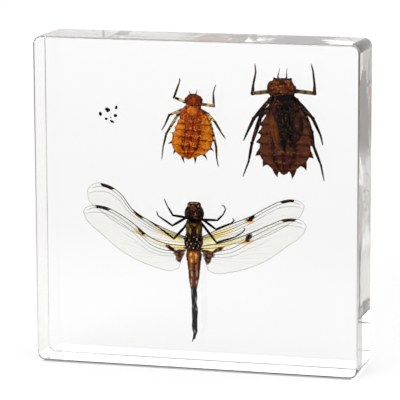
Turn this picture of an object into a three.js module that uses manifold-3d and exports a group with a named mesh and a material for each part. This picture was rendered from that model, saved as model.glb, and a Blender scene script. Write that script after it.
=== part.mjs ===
// The life of a dragonfly sealed in a clear resin block: an adult with its wings spread, a large and a small
// nymph, and a few loose eggs, all lying in one plane in the middle of an upright slab.
//
// Frame: millimetres, +Z up, origin at the middle of the block's underside. The front face looks along -Y.
// Each insect has a flat frame of its own: x across it, z towards its head, and y through the block, its back
// towards -Y. The slab is cast in two pours that meet at y = 0, and each insect lies in a pocket between them.

import * as THREE from "three";
import { mergeVertices } from "three/addons/utils/BufferGeometryUtils.js";
import Module from "manifold-3d";

const wasm = await Module();
wasm.setup();

// ---- Driving dimensions ----

const BLOCK_WIDTH = 110;
const BLOCK_HEIGHT = 110;
const BLOCK_DEPTH = 20;
const CORNER_RADIUS = 3.2;
const CORNER_STEPS = 5;
const EDGE_ROUNDING = 0.7;
const EDGE_STEPS = 2;
const POUR_GAP = 0.3;
const POCKET_CLEARANCE = 0.35;

// Where each insect's own origin lies in the block: [x, z].
const DRAGONFLY_PLACE = [-2.0, 39.5];
const LARGE_NYMPH_PLACE = [28.0, 91.7];
const SMALL_NYMPH_PLACE = [-1.8, 87.4];

// ---- The adult ----
// Its origin is the middle of the waist between thorax and abdomen.

// Head, neck and thorax, as rings from the face backwards: [x, y, z, half width, half depth].
const ADULT_FORE_BODY = [
  [0.2, 0.2, 15.8, 1.2, 0.8],
  [0.2, 0.2, 15.4, 2.1, 1.6],
  [0.2, 0.3, 14.5, 2.9, 2.3],
  [0.2, 0.4, 13.2, 3.3, 2.7],
  [0.2, 0.5, 12.0, 3.3, 2.6],
  [0.1, 0.5, 10.9, 2.7, 2.1],
  [0.1, 0.6, 10.1, 2.0, 1.8],
  [0.0, 0.7, 9.3, 2.6, 2.7],
  [0.0, 0.8, 7.4, 2.85, 3.3],
  [0.0, 0.8, 5.4, 2.6, 3.6],
  [-0.1, 0.6, 3.6, 3.2, 3.5],
  [-0.1, 0.5, 1.3, 3.1, 3.0],
  [0.0, 0.4, 0.1, 2.3, 2.2],
];

// The joints between the abdomen's ten segments: [x, z, half width]. Each segment swells between its joints.
const ABDOMEN_JOINTS = [
  [0.0, 0.1, 2.2],
  [0.0, -1.2, 2.3],
  [0.0, -4.3, 2.1],
  [0.0, -7.4, 1.7],
  [0.0, -10.6, 1.4],
  [-0.1, -13.8, 0.95],
  [0.05, -17.6, 0.85],
  [0.2, -20.9, 0.95],
  [0.2, -24.0, 0.85],
  [0.2, -27.0, 0.85],
  [0.1, -29.0, 0.55],
];
const SEGMENT_SWELL = 1.08;
const SWOLLEN_AT = [0.2, 0.8]; // shares of the way along a segment
const ABDOMEN_DEPTH = 0.85; // of its width
const ABDOMEN_Y = 0.4;
const ABDOMEN_CLASPERS = [
  [[0.1, -28.6, 0.3], [-0.7, -31.8, 0.12]],
  [[0.3, -28.6, 0.3], [0.1, -31.0, 0.12]],
];

// A wing lies in wing axes: s runs from its hinge to its tip and t towards its leading edge. It is drawn by
// its leading and trailing edges, both from hinge to tip.
const FOREWING_TRAILING_EDGE = [
  [0, -1.4], [4, -2.9], [9, -4.4], [16, -5.7], [23, -5.7], [30, -4.5], [35.2, -3.0],
];
const HINDWING_TRAILING_EDGE = [
  [-0.2, -1.8], [0.4, -4.6], [0.6, -7.4], [2.6, -9.0],
  [8, -9.7], [14.7, -9.4], [22, -7.9], [29, -4.9], [35.2, -2.0],
];
const FOREWING_Y = -1.0;
const HINDWING_Y = -0.45;
const WINGS = [
  {
    side: -1,
    hinge: [2.6, 3.2],
    sweep: 24.2,
    y: FOREWING_Y,
    leading: [
      [0, 0.8], [6.4, 0.2], [14, 0.1], [20.4, 1.0], [26.6, 4.1], [31.3, 4.7], [35.4, 3.4], [36.8, 1.5],
    ],
    trailing: FOREWING_TRAILING_EDGE,
    tip: [37.1, -0.2],
  },
  {
    side: 1,
    hinge: [2.6, 3.2],
    sweep: 21.1,
    y: FOREWING_Y,
    leading: [
      [0, 0.8], [5, 1.3], [12, 1.8], [18.8, 2.0], [25, 3.0], [29.5, 3.5], [34.2, 2.9], [36.6, 1.3],
    ],
    trailing: FOREWING_TRAILING_EDGE,
    tip: [37.5, -0.4],
  },
  {
    side: -1,
    hinge: [2.6, 0.2],
    sweep: 16.4,
    y: HINDWING_Y,
    leading: [
      [0, 0.8], [7.4, -0.8], [12.3, -0.6], [18.8, 1.8], [24.5, 3.5], [31.3, 4.2], [35.5, 2.9], [36.8, 1.5],
    ],
    trailing: HINDWING_TRAILING_EDGE,
    tip: [37.1, 0.1],
  },
  {
    side: 1,
    hinge: [2.6, 0.2],
    sweep: 14.1,
    y: HINDWING_Y,
    leading: [
      [0, 0.8], [8.6, 0.6], [14.1, 1.2], [20, 2.2], [25.5, 3.3], [30.5, 4.0], [34.6, 3.1], [36.4, 1.8],
    ],
    trailing: HINDWING_TRAILING_EDGE,
    tip: [36.9, 0.1],
  },
];
const WING_THICKNESS = 0.24;
const WING_EDGE_STEPS = 16;
const COSTA_RADIUS = [0.26, 0.14]; // the stiff leading edge, at the hinge and where it ends short of the tip
const COSTA_STEPS = 6;
const COSTA_SIDES = 4;

// Legs, from where each meets the body to its claws: [x, z, radius].
const ADULT_LEGS = [
  [[-1.4, 9.6, 0.3], [-3.3, 10.3, 0.3], [-7.4, 10.8, 0.25], [-9.2, 13.8, 0.16], [-10.3, 16.3, 0.1]],
  [[-1.2, 11.0, 0.3], [-3.0, 10.1, 0.3], [-7.6, 7.3, 0.26], [-12.5, 10.5, 0.16], [-12.9, 12.0, 0.1]],
  [[-1.6, 9.4, 0.3], [-3.6, 6.8, 0.3], [-7.1, 2.9, 0.26], [-12.3, 6.6, 0.17], [-15.9, 8.9, 0.1]],
  [
    [1.2, 9.7, 0.3], [7.8, 9.8, 0.26], [9.8, 11.8, 0.17],
    [10.7, 13.7, 0.14], [10.2, 14.8, 0.12], [9.4, 14.9, 0.09],
  ],
  [[1.3, 10.8, 0.3], [7.3, 6.7, 0.27], [12.7, 9.1, 0.17], [13.7, 10.1, 0.13], [13.1, 10.9, 0.09]],
  [
    [1.2, 9.9, 0.3], [7.5, 2.2, 0.28], [13.8, 4.4, 0.18],
    [16.5, 6.2, 0.14], [17.3, 7.2, 0.11], [16.9, 7.9, 0.09],
  ],
];
const ADULT_LEG_DEPTHS = [2.2, 1.0]; // y where a leg leaves the body, and at its claws

// ---- The nymphs ----
// Each one's origin is the middle of its neck. Their bodies are rings like the adult's.

const FLANGE_FRONT = 0.2; // the toothed edge of the abdomen lies low, just behind the plane of the pour

const LARGE_NYMPH = {
  body: [
    [0.15, 0.0, 5.9, 2.3, 0.8],
    [0.15, 0.0, 5.1, 3.3, 1.4],
    [0.0, 0.0, 3.4, 4.4, 1.9],
    [0.0, 0.0, 2.3, 4.75, 2.0],
    [0.1, 0.1, 0.9, 4.4, 1.9],
    [0.2, 0.1, -0.1, 3.9, 1.6],
    [0.3, 0.1, -1.2, 4.5, 2.0],
    [0.4, 0.1, -3.0, 4.9, 2.4],
    [0.4, 0.1, -4.4, 5.2, 2.2],
    [0.5, 0.1, -6.6, 5.6, 2.6],
    [0.8, 0.2, -9.0, 7.0, 2.5],
    [1.2, 0.2, -12.5, 7.7, 2.6],
    [1.15, 0.2, -16.0, 7.6, 2.4],
    [0.95, 0.2, -19.4, 6.8, 2.1],
    [0.7, 0.2, -22.2, 4.8, 1.5],
    [0.7, 0.2, -24.2, 2.4, 1.0],
    [0.8, 0.2, -25.2, 0.8, 0.6],
  ],
  // The teeth round the abdomen's sharp edge, down the left side and up the right, each as its tip and the
  // notch that follows it: [x, z].
  teeth: [
    [[-6.1, -7.6], [-6.8, -9.0]],
    [[-7.5, -9.9], [-6.8, -10.4]],
    [[-8.1, -12.4], [-7.1, -12.9]],
    [[-8.4, -15.3], [-7.3, -16.0]],
    [[-8.8, -19.6], [-6.9, -19.5]],
    [[-6.3, -22.9], [-4.7, -22.2]],
    [[-1.6, -26.1], [-1.1, -24.5]],
    [[0.8, -25.5], [3.0, -24.3]],
    [[3.5, -25.9], [6.0, -22.2]],
    [[8.1, -22.7], [8.6, -19.4]],
    [[10.3, -19.3], [9.4, -15.8]],
    [[10.4, -15.4], [9.5, -12.8]],
    [[10.1, -12.2], [9.0, -10.2]],
    [[9.4, -9.6], [7.4, -7.2]],
  ],
  wingPads: [
    [[-2.7, -3.6, 1.1], [-3.0, -6.6, 1.5], [-2.6, -11.5, 1.5], [-1.5, -15.4, 0.9], [-1.1, -17.2, 0.3]],
    [[3.3, -3.6, 1.1], [3.6, -6.6, 1.5], [3.4, -11.5, 1.5], [2.6, -15.4, 0.9], [2.2, -17.2, 0.3]],
    [[-0.6, -3.2, 0.9], [-0.6, -6.6, 1.1], [-0.2, -11.5, 1.1], [0.4, -15.6, 0.4]],
    [[1.2, -3.2, 0.9], [1.4, -6.6, 1.1], [1.2, -11.5, 1.1], [0.9, -15.6, 0.4]],
  ],
  feelers: [
    [[-1.2, 5.2, 0.2], [-1.4, 6.3, 0.16], [-0.8, 9.1, 0.09]],
    [[1.3, 5.2, 0.2], [1.4, 6.3, 0.16], [1.6, 9.2, 0.09]],
    [[-2.2, 4.9, 0.45], [-2.7, 6.1, 0.2]],
    [[2.5, 4.9, 0.45], [3.0, 6.2, 0.2]],
  ],
  eyes: [[-3.9, 3.3, 1.1], [4.0, 3.3, 1.1]],
  legs: [
    [
      [-2.5, 1.0, 0.5], [-5.0, 1.3, 0.5], [-10.1, 0.5, 0.42],
      [-9.9, 3.2, 0.3], [-9.0, 7.5, 0.24], [-9.3, 10.3, 0.12],
    ],
    [
      [2.5, 1.2, 0.5], [4.7, 1.8, 0.5], [10.6, 1.2, 0.42],
      [10.6, 4.0, 0.3], [10.1, 8.6, 0.24], [9.5, 10.8, 0.12],
    ],
    [[-2.5, 0.2, 0.55], [-4.3, -1.4, 0.6], [-9.7, -7.8, 0.5], [-12.1, -12.9, 0.3], [-13.1, -15.3, 0.14]],
    [[2.5, 0.2, 0.55], [4.6, -1.3, 0.6], [10.1, -7.1, 0.5], [12.7, -12.5, 0.3], [13.5, -15.7, 0.14]],
    [[-3.0, -2.8, 0.6], [-7.3, -6.8, 0.65], [-10.3, -16.0, 0.45], [-11.4, -22.1, 0.3], [-13.3, -27.2, 0.13]],
    [
      [3.5, -1.8, 0.6], [6.9, -4.6, 0.65], [9.6, -11.6, 0.6],
      [10.3, -16.0, 0.45], [12.9, -22.4, 0.3], [14.0, -27.6, 0.13],
    ],
  ],
  legDepths: [1.4, 0.9],
  padY: -1.9,
  padDepth: 0.9,
  padRise: 0.75,
  flangeThickness: 0.7,
};

const SMALL_NYMPH = {
  body: [
    [-0.15, 0.0, 4.1, 1.1, 0.6],
    [-0.15, 0.0, 3.4, 2.1, 1.1],
    [0.0, 0.0, 2.0, 3.0, 1.5],
    [0.0, 0.0, 0.9, 2.95, 1.5],
    [0.0, 0.0, 0.0, 2.5, 1.2],
    [-0.2, 0.0, -1.0, 3.3, 1.6],
    [-0.4, 0.0, -3.0, 4.5, 1.9],
    [-0.3, 0.1, -5.2, 5.2, 1.9],
    [-0.4, 0.1, -8.0, 5.9, 2.0],
    [-0.8, 0.1, -11.0, 6.4, 1.9],
    [-1.3, 0.1, -13.6, 5.4, 1.6],
    [-1.7, 0.1, -15.8, 3.2, 1.1],
    [-2.1, 0.1, -17.2, 0.8, 0.5],
  ],
  teeth: [
    [[-5.3, -4.8], [-5.8, -6.2]],
    [[-6.8, -7.1], [-6.4, -8.2]],
    [[-7.9, -9.1], [-7.3, -10.4]],
    [[-9.3, -12.9], [-7.2, -13.2]],
    [[-7.4, -15.9], [-5.4, -15.7]],
    [[-3.6, -17.8], [-2.8, -16.8]],
    [[-2.1, -17.6], [-1.0, -16.9]],
    [[-0.2, -18.6], [1.2, -15.9]],
    [[3.8, -16.8], [4.0, -14.3]],
    [[6.3, -14.4], [5.8, -11.9]],
    [[6.9, -11.6], [6.1, -9.3]],
    [[6.8, -8.8], [5.6, -6.6]],
    [[6.0, -5.9], [4.9, -4.2]],
  ],
  wingPads: [
    [[-1.9, -2.4, 0.9], [-2.1, -4.6, 1.0], [-1.8, -7.2, 0.3]],
    [[1.7, -2.4, 0.9], [1.9, -4.6, 1.0], [1.5, -7.2, 0.3]],
  ],
  feelers: [
    [[-0.9, 3.6, 0.16], [-1.7, 4.9, 0.07]],
    [[0.6, 3.6, 0.16], [1.2, 5.5, 0.07]],
  ],
  eyes: [[-2.4, 2.1, 0.8], [2.4, 2.1, 0.8]],
  legs: [
    [[-1.8, 0.9, 0.34], [-3.6, 1.3, 0.36], [-6.9, 2.6, 0.3], [-4.9, 8.1, 0.17], [-4.9, 9.1, 0.09]],
    [[1.8, 0.6, 0.34], [2.9, 0.6, 0.36], [6.6, 0.2, 0.32], [6.5, 4.6, 0.17], [7.3, 7.1, 0.09]],
    [[-2.0, -0.8, 0.34], [-4.7, -1.6, 0.34], [-8.6, -3.4, 0.28], [-10.0, -6.6, 0.18], [-11.2, -8.6, 0.09]],
    [[1.5, -1.0, 0.36], [4.6, -2.6, 0.36], [7.1, -5.2, 0.3], [9.3, -8.8, 0.2], [10.6, -10.5, 0.1]],
    [[-3.0, -1.8, 0.36], [-5.7, -3.3, 0.36], [-9.6, -9.6, 0.28], [-10.7, -14.0, 0.18], [-11.2, -18.4, 0.09]],
    [[3.0, -2.6, 0.36], [5.2, -4.6, 0.36], [7.4, -13.4, 0.3], [7.6, -17.2, 0.18], [8.2, -20.1, 0.09]],
  ],
  legDepths: [1.2, 0.8],
  padY: -1.5,
  padDepth: 0.7,
  padRise: 0.5,
  flangeThickness: 0.5,
};

// ---- The eggs ----
// Each egg or clump is a list of rounded grains: [x, z, half length, half width, turn in degrees].
const EGGS = {
  egg_clump: [[-31.7, 85.4, 0.62, 0.5, 20], [-31.0, 85.1, 0.55, 0.5, -30], [-31.4, 84.7, 0.5, 0.42, 0]],
  egg_1: [[-28.4, 86.0, 0.66, 0.42, 75]],
  egg_2: [[-33.9, 83.7, 0.7, 0.52, 100]],
  egg_3: [[-28.7, 83.3, 0.58, 0.55, 0]],
  egg_4: [[-31.9, 82.1, 0.55, 0.4, 10]],
  egg_5: [[-29.9, 81.3, 0.82, 0.38, -28]],
  egg_6: [[-30.3, 82.6, 0.3, 0.22, 0]],
};
const EGG_ROUND_STEPS = 7;
const EGG_END_STEPS = 4;

// ---- From geometry to solids and back ----

const WELD_DISTANCE = 1e-4;

// A closed three.js geometry as a solid that can be joined and cut.
function solid(geometry) {
  const bare = geometry.clone();
  bare.deleteAttribute("normal");
  bare.deleteAttribute("uv");
  const merged = mergeVertices(bare, WELD_DISTANCE);
  return new wasm.Manifold(
    new wasm.Mesh({
      numProp: 3,
      vertProperties: new Float32Array(merged.getAttribute("position").array),
      triVerts: new Uint32Array(merged.index.array),
    }),
  );
}

function join(solids) {
  return solids.reduce((whole, piece) => whole.add(piece));
}

function namedMesh(name, shape, material) {
  const { vertProperties, triVerts } = shape.getMesh();
  const geometry = new THREE.BufferGeometry();
  geometry.setAttribute("position", new THREE.BufferAttribute(vertProperties, 3));
  geometry.setIndex(new THREE.BufferAttribute(triVerts, 1));
  geometry.computeVertexNormals();
  const mesh = new THREE.Mesh(geometry, material);
  mesh.name = name;
  return mesh;
}

// ---- Shapes that the insects are made of ----

const FORE_BODY_SIDES = 10;
const ABDOMEN_SIDES = 7;
const NYMPH_SIDES = 10;
const LIMB_SIDES = 5;
const EYE_SIDES = 6;
const FEELER_SIDES = 4;
const SHARPEST_MITRE = 0.55;
// A nymph's eye is a short barrel. Each ring's height and width, in eye radii:
const EYE_PROFILE = [[1, 0.3], [0.5, 0.85], [-0.5, 0.85], [-1, 0.3]];

// A closed tube through rings of [x, y, z, half width, half depth]: a cylinder whose rings stand square to the
// path and are mitred at its bends. Width is measured in the insects' plane and depth through the block.
function spindle(rings, sides) {
  const last = rings.length - 1;
  const geometry = new THREE.CylinderGeometry(1, 1, 1, sides, last, false, Math.PI / sides);
  const middles = rings.map(([x, y, z]) => new THREE.Vector3(x, y, z));
  const throughBlock = new THREE.Vector3(0, 1, 0);
  const position = geometry.getAttribute("position");
  for (let i = 0; i < position.count; i += 1) {
    const ring = Math.round((0.5 - position.getY(i)) * last);
    const arriving = middles[Math.max(ring, 1)].clone().sub(middles[Math.max(ring, 1) - 1]).normalize();
    const leaving = middles[Math.min(ring + 1, last)].clone().sub(middles[Math.min(ring, last - 1)]).normalize();
    const onward = arriving.add(leaving).normalize();
    const mitre = 1 / Math.max(onward.dot(leaving), SHARPEST_MITRE);
    const across = onward.clone().cross(throughBlock).normalize();
    const deep = onward.clone().cross(across);
    const point = middles[ring].clone();
    point.addScaledVector(across, position.getX(i) * rings[ring][3] * mitre);
    point.addScaledVector(deep, position.getZ(i) * rings[ring][4]);
    position.setXYZ(i, point.x, point.y, point.z);
  }
  return solid(geometry);
}

// A thin limb through [x, z, radius] points, its depth in the block running from the first y to the second.
function limbRings(points, [startY, endY]) {
  return points.map(([x, z, radius], i) => {
    const y = THREE.MathUtils.lerp(startY, endY, i / (points.length - 1));
    return [x, y, z, radius, radius];
  });
}

// A flat plate of an [x, z] outline between two depths in the block.
function plate(outline, frontY, backY) {
  const shape = new THREE.Shape(outline.map(([x, z]) => new THREE.Vector2(x, z)));
  const geometry = new THREE.ExtrudeGeometry(shape, { depth: backY - frontY, bevelEnabled: false });
  geometry.rotateX(Math.PI / 2);
  geometry.translate(0, backY, 0);
  return solid(geometry);
}

// Points spread evenly along a smooth curve through the given ones.
function smooth(points, steps) {
  const corners = points.map(([x, z]) => new THREE.Vector3(x, z, 0));
  const curve = new THREE.CatmullRomCurve3(corners, false, "centripetal");
  return curve.getSpacedPoints(steps).map(({ x, y }) => [x, y]);
}

// The outline moved outwards by a distance, each corner along the middle of its two edges' normals.
function widened(outline, distance) {
  const turn = THREE.ShapeUtils.area(outline.map(([x, y]) => ({ x, y }))) > 0 ? 1 : -1;
  return outline.map(([x, z], i) => {
    const before = outline.at(i - 1);
    const after = outline[(i + 1) % outline.length];
    const arriving = new THREE.Vector2(x - before[0], z - before[1]).normalize();
    const leaving = new THREE.Vector2(after[0] - x, after[1] - z).normalize();
    const along = arriving.add(leaving).normalize();
    return [x + along.y * turn * distance, z - along.x * turn * distance];
  });
}

// A grain, with its long axis turned in the insects' plane.
function grain([x, z, halfLength, halfWidth, turn], geometry, growth) {
  geometry.scale(halfLength + growth, halfWidth + growth, halfWidth + growth);
  geometry.rotateY(THREE.MathUtils.degToRad(-turn));
  geometry.translate(x, 0, z);
  return solid(geometry);
}

// ---- Pockets ----
// A pocket is a plain, wider form of what lies in it, deepened until it opens at the plane of the pour. Wings
// lie wholly in front of that plane and legs behind it, so that each is let into one half only.

const POCKET_SIDES = 6;
const TRENCH_SIDES = 4;
const ADULT_POCKET_ROOM = 0.4;
const TOOTH_ROOM = 0.7;
const WING_ROOM = 0.8;
const TIP_ROOM = 0.1; // past a limb's own clearance, where its pocket ends

// How much wider a ring of few sides is made, so that its flats still clear the round form inside.
function flatsOutside(sides) {
  return 1 / Math.cos(Math.PI / sides);
}

function pocketRings(rings, sides) {
  const wider = flatsOutside(sides);
  return rings.map(([x, y, z, width, depth]) => {
    const back = Math.max(y + depth + POCKET_CLEARANCE, 0);
    const front = Math.min(y - depth - POCKET_CLEARANCE, 0);
    return [x, (back + front) / 2, z, (width + POCKET_CLEARANCE) * wider, ((back - front) / 2) * wider];
  });
}

// Lengthens a path of rings at both ends by the clearance, so that the pocket clears the tips as well.
function lengthened(rings) {
  const pushed = (end, inner) => {
    const tip = new THREE.Vector3(...end);
    const away = tip.clone().sub(new THREE.Vector3(...inner)).normalize();
    tip.addScaledVector(away, POCKET_CLEARANCE + TIP_ROOM);
    return [tip.x, tip.y, tip.z, end[3], end[4]];
  };
  return [pushed(rings[0], rings[1]), ...rings.slice(1, -1), pushed(rings.at(-1), rings.at(-2))];
}

function trench(rings) {
  return spindle(pocketRings(lengthened(rings), TRENCH_SIDES), TRENCH_SIDES);
}

// The pocket of a whole body: every second ring is enough for it, with some room added all round.
function bodyPocket(rings, room) {
  const every = rings.filter((ring, i) => i % 2 === 0 || i === rings.length - 1);
  const roomy = every.map(([x, y, z, width, depth]) => [x, y, z, width + room, depth + room]);
  return spindle(pocketRings(lengthened(roomy), POCKET_SIDES), POCKET_SIDES);
}

// ---- The adult dragonfly ----

function wingPoint(wing, [s, t]) {
  const sweep = THREE.MathUtils.degToRad(wing.sweep);
  const x = wing.hinge[0] + s * Math.cos(sweep) - t * Math.sin(sweep);
  const z = wing.hinge[1] + s * Math.sin(sweep) + t * Math.cos(sweep);
  return [wing.side * x, z];
}

function wingOutline(wing, steps) {
  const leading = smooth([...wing.leading, wing.tip], steps);
  const trailing = smooth([...wing.trailing, wing.tip], steps).reverse().slice(1);
  return [...leading, ...trailing].map((point) => wingPoint(wing, point));
}

function wing(form) {
  const membrane = plate(
    wingOutline(form, WING_EDGE_STEPS),
    form.y - WING_THICKNESS / 2,
    form.y + WING_THICKNESS / 2,
  );
  const costa = smooth(form.leading.slice(0, -1), COSTA_STEPS).map((point, i) => {
    const [x, z] = wingPoint(form, point);
    const radius = THREE.MathUtils.lerp(...COSTA_RADIUS, i / COSTA_STEPS);
    return [x, form.y, z, radius, radius];
  });
  return membrane.add(spindle(costa, COSTA_SIDES));
}

function wingPocket(form) {
  const corners = [...form.leading, form.tip, ...form.trailing.toReversed()];
  const outline = corners.map((point) => wingPoint(form, point));
  return plate(widened(outline, WING_ROOM), FOREWING_Y - COSTA_RADIUS[0] - POCKET_CLEARANCE, 0);
}

function abdomenRings() {
  const rings = [];
  ABDOMEN_JOINTS.forEach(([x, z, width], i) => {
    rings.push([x, ABDOMEN_Y, z, width, width * ABDOMEN_DEPTH]);
    if (i === ABDOMEN_JOINTS.length - 1) return;
    const [nextX, nextZ, nextWidth] = ABDOMEN_JOINTS[i + 1];
    for (const share of SWOLLEN_AT) {
      const swollen = THREE.MathUtils.lerp(width, nextWidth, share) * SEGMENT_SWELL;
      const middle = THREE.MathUtils.lerp(x, nextX, share);
      rings.push([middle, ABDOMEN_Y, THREE.MathUtils.lerp(z, nextZ, share), swollen, swollen * ABDOMEN_DEPTH]);
    }
  });
  return rings;
}

function dragonfly() {
  return join([
    spindle(ADULT_FORE_BODY, FORE_BODY_SIDES),
    spindle(abdomenRings(), ABDOMEN_SIDES),
    ...ABDOMEN_CLASPERS.map((points) => spindle(limbRings(points, [ABDOMEN_Y, ABDOMEN_Y]), LIMB_SIDES)),
    ...WINGS.map(wing),
    ...ADULT_LEGS.map((points) => spindle(limbRings(points, ADULT_LEG_DEPTHS), LIMB_SIDES)),
  ]);
}

function dragonflyPocket() {
  const abdomen = ABDOMEN_JOINTS.map(([x, z, width]) => [x, ABDOMEN_Y, z, width, width * ABDOMEN_DEPTH]);
  return join([
    bodyPocket(ADULT_FORE_BODY, ADULT_POCKET_ROOM),
    bodyPocket(abdomen, ADULT_POCKET_ROOM),
    ...ABDOMEN_CLASPERS.map((points) => trench(limbRings(points, [ABDOMEN_Y, ABDOMEN_Y]))),
    ...WINGS.map(wingPocket),
    ...ADULT_LEGS.map((points) => trench(limbRings(points, ADULT_LEG_DEPTHS))),
  ]);
}

// ---- Nymphs ----

function padRings(points, nymphForm) {
  return points.map(([x, z, width]) => [x, nymphForm.padY, z, width, nymphForm.padDepth * Math.min(1, width)]);
}

function eyeRings([x, z, radius]) {
  return EYE_PROFILE.map(([up, out]) => [x, 0, z + up * radius, out * radius, out * radius]);
}

function nymph(form) {
  return join([
    spindle(form.body, NYMPH_SIDES),
    plate(form.teeth.flat(), FLANGE_FRONT, FLANGE_FRONT + form.flangeThickness),
    ...form.eyes.map((eye) => spindle(eyeRings(eye), EYE_SIDES)),
    ...form.wingPads.map((points) => spindle(padRings(points, form), LIMB_SIDES)),
    ...form.feelers.map((points) => spindle(limbRings(points, [0, 0]), FEELER_SIDES)),
    ...form.legs.map((points) => spindle(limbRings(points, form.legDepths), LIMB_SIDES)),
  ]);
}

function nymphPocket(form) {
  const tips = form.teeth.map(([tip]) => tip);
  const depth = FLANGE_FRONT + form.flangeThickness + POCKET_CLEARANCE;
  return join([
    bodyPocket(form.body, form.padRise),
    plate(widened(tips, TOOTH_ROOM), 0, depth),
    ...form.feelers.map((points) => trench(limbRings(points, [0, 0]))),
    ...form.legs.map((points) => trench(limbRings(points, form.legDepths))),
  ]);
}

// ---- The block ----

function roundedSquare() {
  const [x, top, r] = [BLOCK_WIDTH / 2, BLOCK_HEIGHT, CORNER_RADIUS];
  const shape = new THREE.Shape();
  shape.absarc(x - r, r, r, -Math.PI / 2, 0);
  shape.absarc(x - r, top - r, r, 0, Math.PI / 2);
  shape.absarc(r - x, top - r, r, Math.PI / 2, Math.PI);
  shape.absarc(r - x, r, r, Math.PI, Math.PI * 1.5);
  return shape;
}

function block() {
  const geometry = new THREE.ExtrudeGeometry(roundedSquare(), {
    depth: BLOCK_DEPTH - 2 * EDGE_ROUNDING,
    bevelThickness: EDGE_ROUNDING,
    bevelSize: EDGE_ROUNDING,
    bevelOffset: -EDGE_ROUNDING,
    bevelSegments: EDGE_STEPS,
    curveSegments: CORNER_STEPS,
  });
  geometry.rotateX(Math.PI / 2);
  geometry.translate(0, BLOCK_DEPTH / 2 - EDGE_ROUNDING, 0);
  return solid(geometry);
}

// Everything on one side of the plane of the pour, well past the block's edges: -1 in front of it and 1 behind.
function side(direction) {
  const geometry = new THREE.BoxGeometry(BLOCK_WIDTH * 2, BLOCK_DEPTH, BLOCK_HEIGHT * 3);
  geometry.translate(0, (direction * (BLOCK_DEPTH + POUR_GAP)) / 2, 0);
  return solid(geometry);
}

// ---- Assembly ----

const clearResin = new THREE.MeshStandardMaterial({
  color: 0xf3f6f4,
  roughness: 0.04,
  metalness: 0,
  transparent: true,
  opacity: 0.25,
});
const darkShell = new THREE.MeshStandardMaterial({ color: 0x3a2414, roughness: 0.45, metalness: 0 });
const brownShell = new THREE.MeshStandardMaterial({ color: 0x4a2412, roughness: 0.5, metalness: 0 });
const amberShell = new THREE.MeshStandardMaterial({ color: 0xa8560f, roughness: 0.45, metalness: 0 });
const eggShell = new THREE.MeshStandardMaterial({ color: 0x1c1412, roughness: 0.5, metalness: 0 });

const moved = (shape, [x, z]) => shape.translate([x, 0, z]);

function eggPocket(one) {
  return grain(one, new THREE.IcosahedronGeometry(1, 0), 2 * POCKET_CLEARANCE);
}

const pockets = join([
  moved(dragonflyPocket(), DRAGONFLY_PLACE),
  moved(nymphPocket(LARGE_NYMPH), LARGE_NYMPH_PLACE),
  moved(nymphPocket(SMALL_NYMPH), SMALL_NYMPH_PLACE),
  ...Object.values(EGGS).flat().map(eggPocket),
]);

const specimenBlock = new THREE.Group();
for (const [name, direction] of [["resin_front", -1], ["resin_back", 1]]) {
  const half = block().intersect(side(direction)).subtract(pockets);
  specimenBlock.add(namedMesh(name, half, clearResin));
}
for (const [name, shape, [x, z], material] of [
  ["dragonfly", dragonfly(), DRAGONFLY_PLACE, darkShell],
  ["large_nymph", nymph(LARGE_NYMPH), LARGE_NYMPH_PLACE, brownShell],
  ["small_nymph", nymph(SMALL_NYMPH), SMALL_NYMPH_PLACE, amberShell],
]) {
  const mesh = namedMesh(name, shape, material);
  mesh.position.set(x, 0, z);
  specimenBlock.add(mesh);
}
for (const [name, grains] of Object.entries(EGGS)) {
  const egg = join(
    grains.map((one) => grain(one, new THREE.SphereGeometry(1, EGG_ROUND_STEPS, EGG_END_STEPS), 0)),
  );
  specimenBlock.add(namedMesh(name, egg, eggShell));
}

export default specimenBlock;
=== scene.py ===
import math
from collections import namedtuple

import bpy
import numpy as np
from mathutils import Matrix


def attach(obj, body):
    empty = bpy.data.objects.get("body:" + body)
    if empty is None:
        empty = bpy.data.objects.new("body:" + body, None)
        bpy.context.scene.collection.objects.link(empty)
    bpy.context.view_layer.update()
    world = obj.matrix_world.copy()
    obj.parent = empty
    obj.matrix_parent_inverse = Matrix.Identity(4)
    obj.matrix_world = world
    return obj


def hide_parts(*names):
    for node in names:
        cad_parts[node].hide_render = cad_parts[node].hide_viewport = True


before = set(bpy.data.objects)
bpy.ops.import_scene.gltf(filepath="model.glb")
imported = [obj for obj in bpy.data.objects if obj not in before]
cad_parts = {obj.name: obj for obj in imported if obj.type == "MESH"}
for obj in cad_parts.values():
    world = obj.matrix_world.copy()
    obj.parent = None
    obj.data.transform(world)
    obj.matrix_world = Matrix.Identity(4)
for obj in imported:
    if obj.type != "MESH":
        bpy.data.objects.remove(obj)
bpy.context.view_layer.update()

# The life of a dragonfly in a clear resin block. Shapes are worked out in millimetres in each insect's own
# flat frame, x across it, z towards its head and y through the block with its back towards -y, and then set
# in place.

MM = 0.001
CHANCE = np.random.default_rng(23)
THROUGH = np.array([0.0, 1.0, 0.0])

# The block's half sizes, and the roundings of its corners and of its front and back edges.
HALF_WIDTH, HALF_DEPTH = 55.0, 10.0
CORNER, FRONT_EDGE, BACK_EDGE = 2.8, 0.5, 0.12

DRAGONFLY_PLACE = (-2.0, 39.5)
LARGE_NYMPH_PLACE = (28.0, 91.7)
SMALL_NYMPH_PLACE = (-1.8, 87.4)
BLOCK_PLACE = (0.0, 0.0)

Solid = namedtuple("Solid", "points quads triangles")


# ---- Shapes ----

def stations(knots, reach):
    """How far along the straight line from knot to knot each knot lies, measured in the first `reach`
    columns."""
    gaps = np.linalg.norm(np.diff(knots[:, :reach], axis=0), axis=1)
    return np.concatenate([[0.0], np.cumsum(gaps)])


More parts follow.
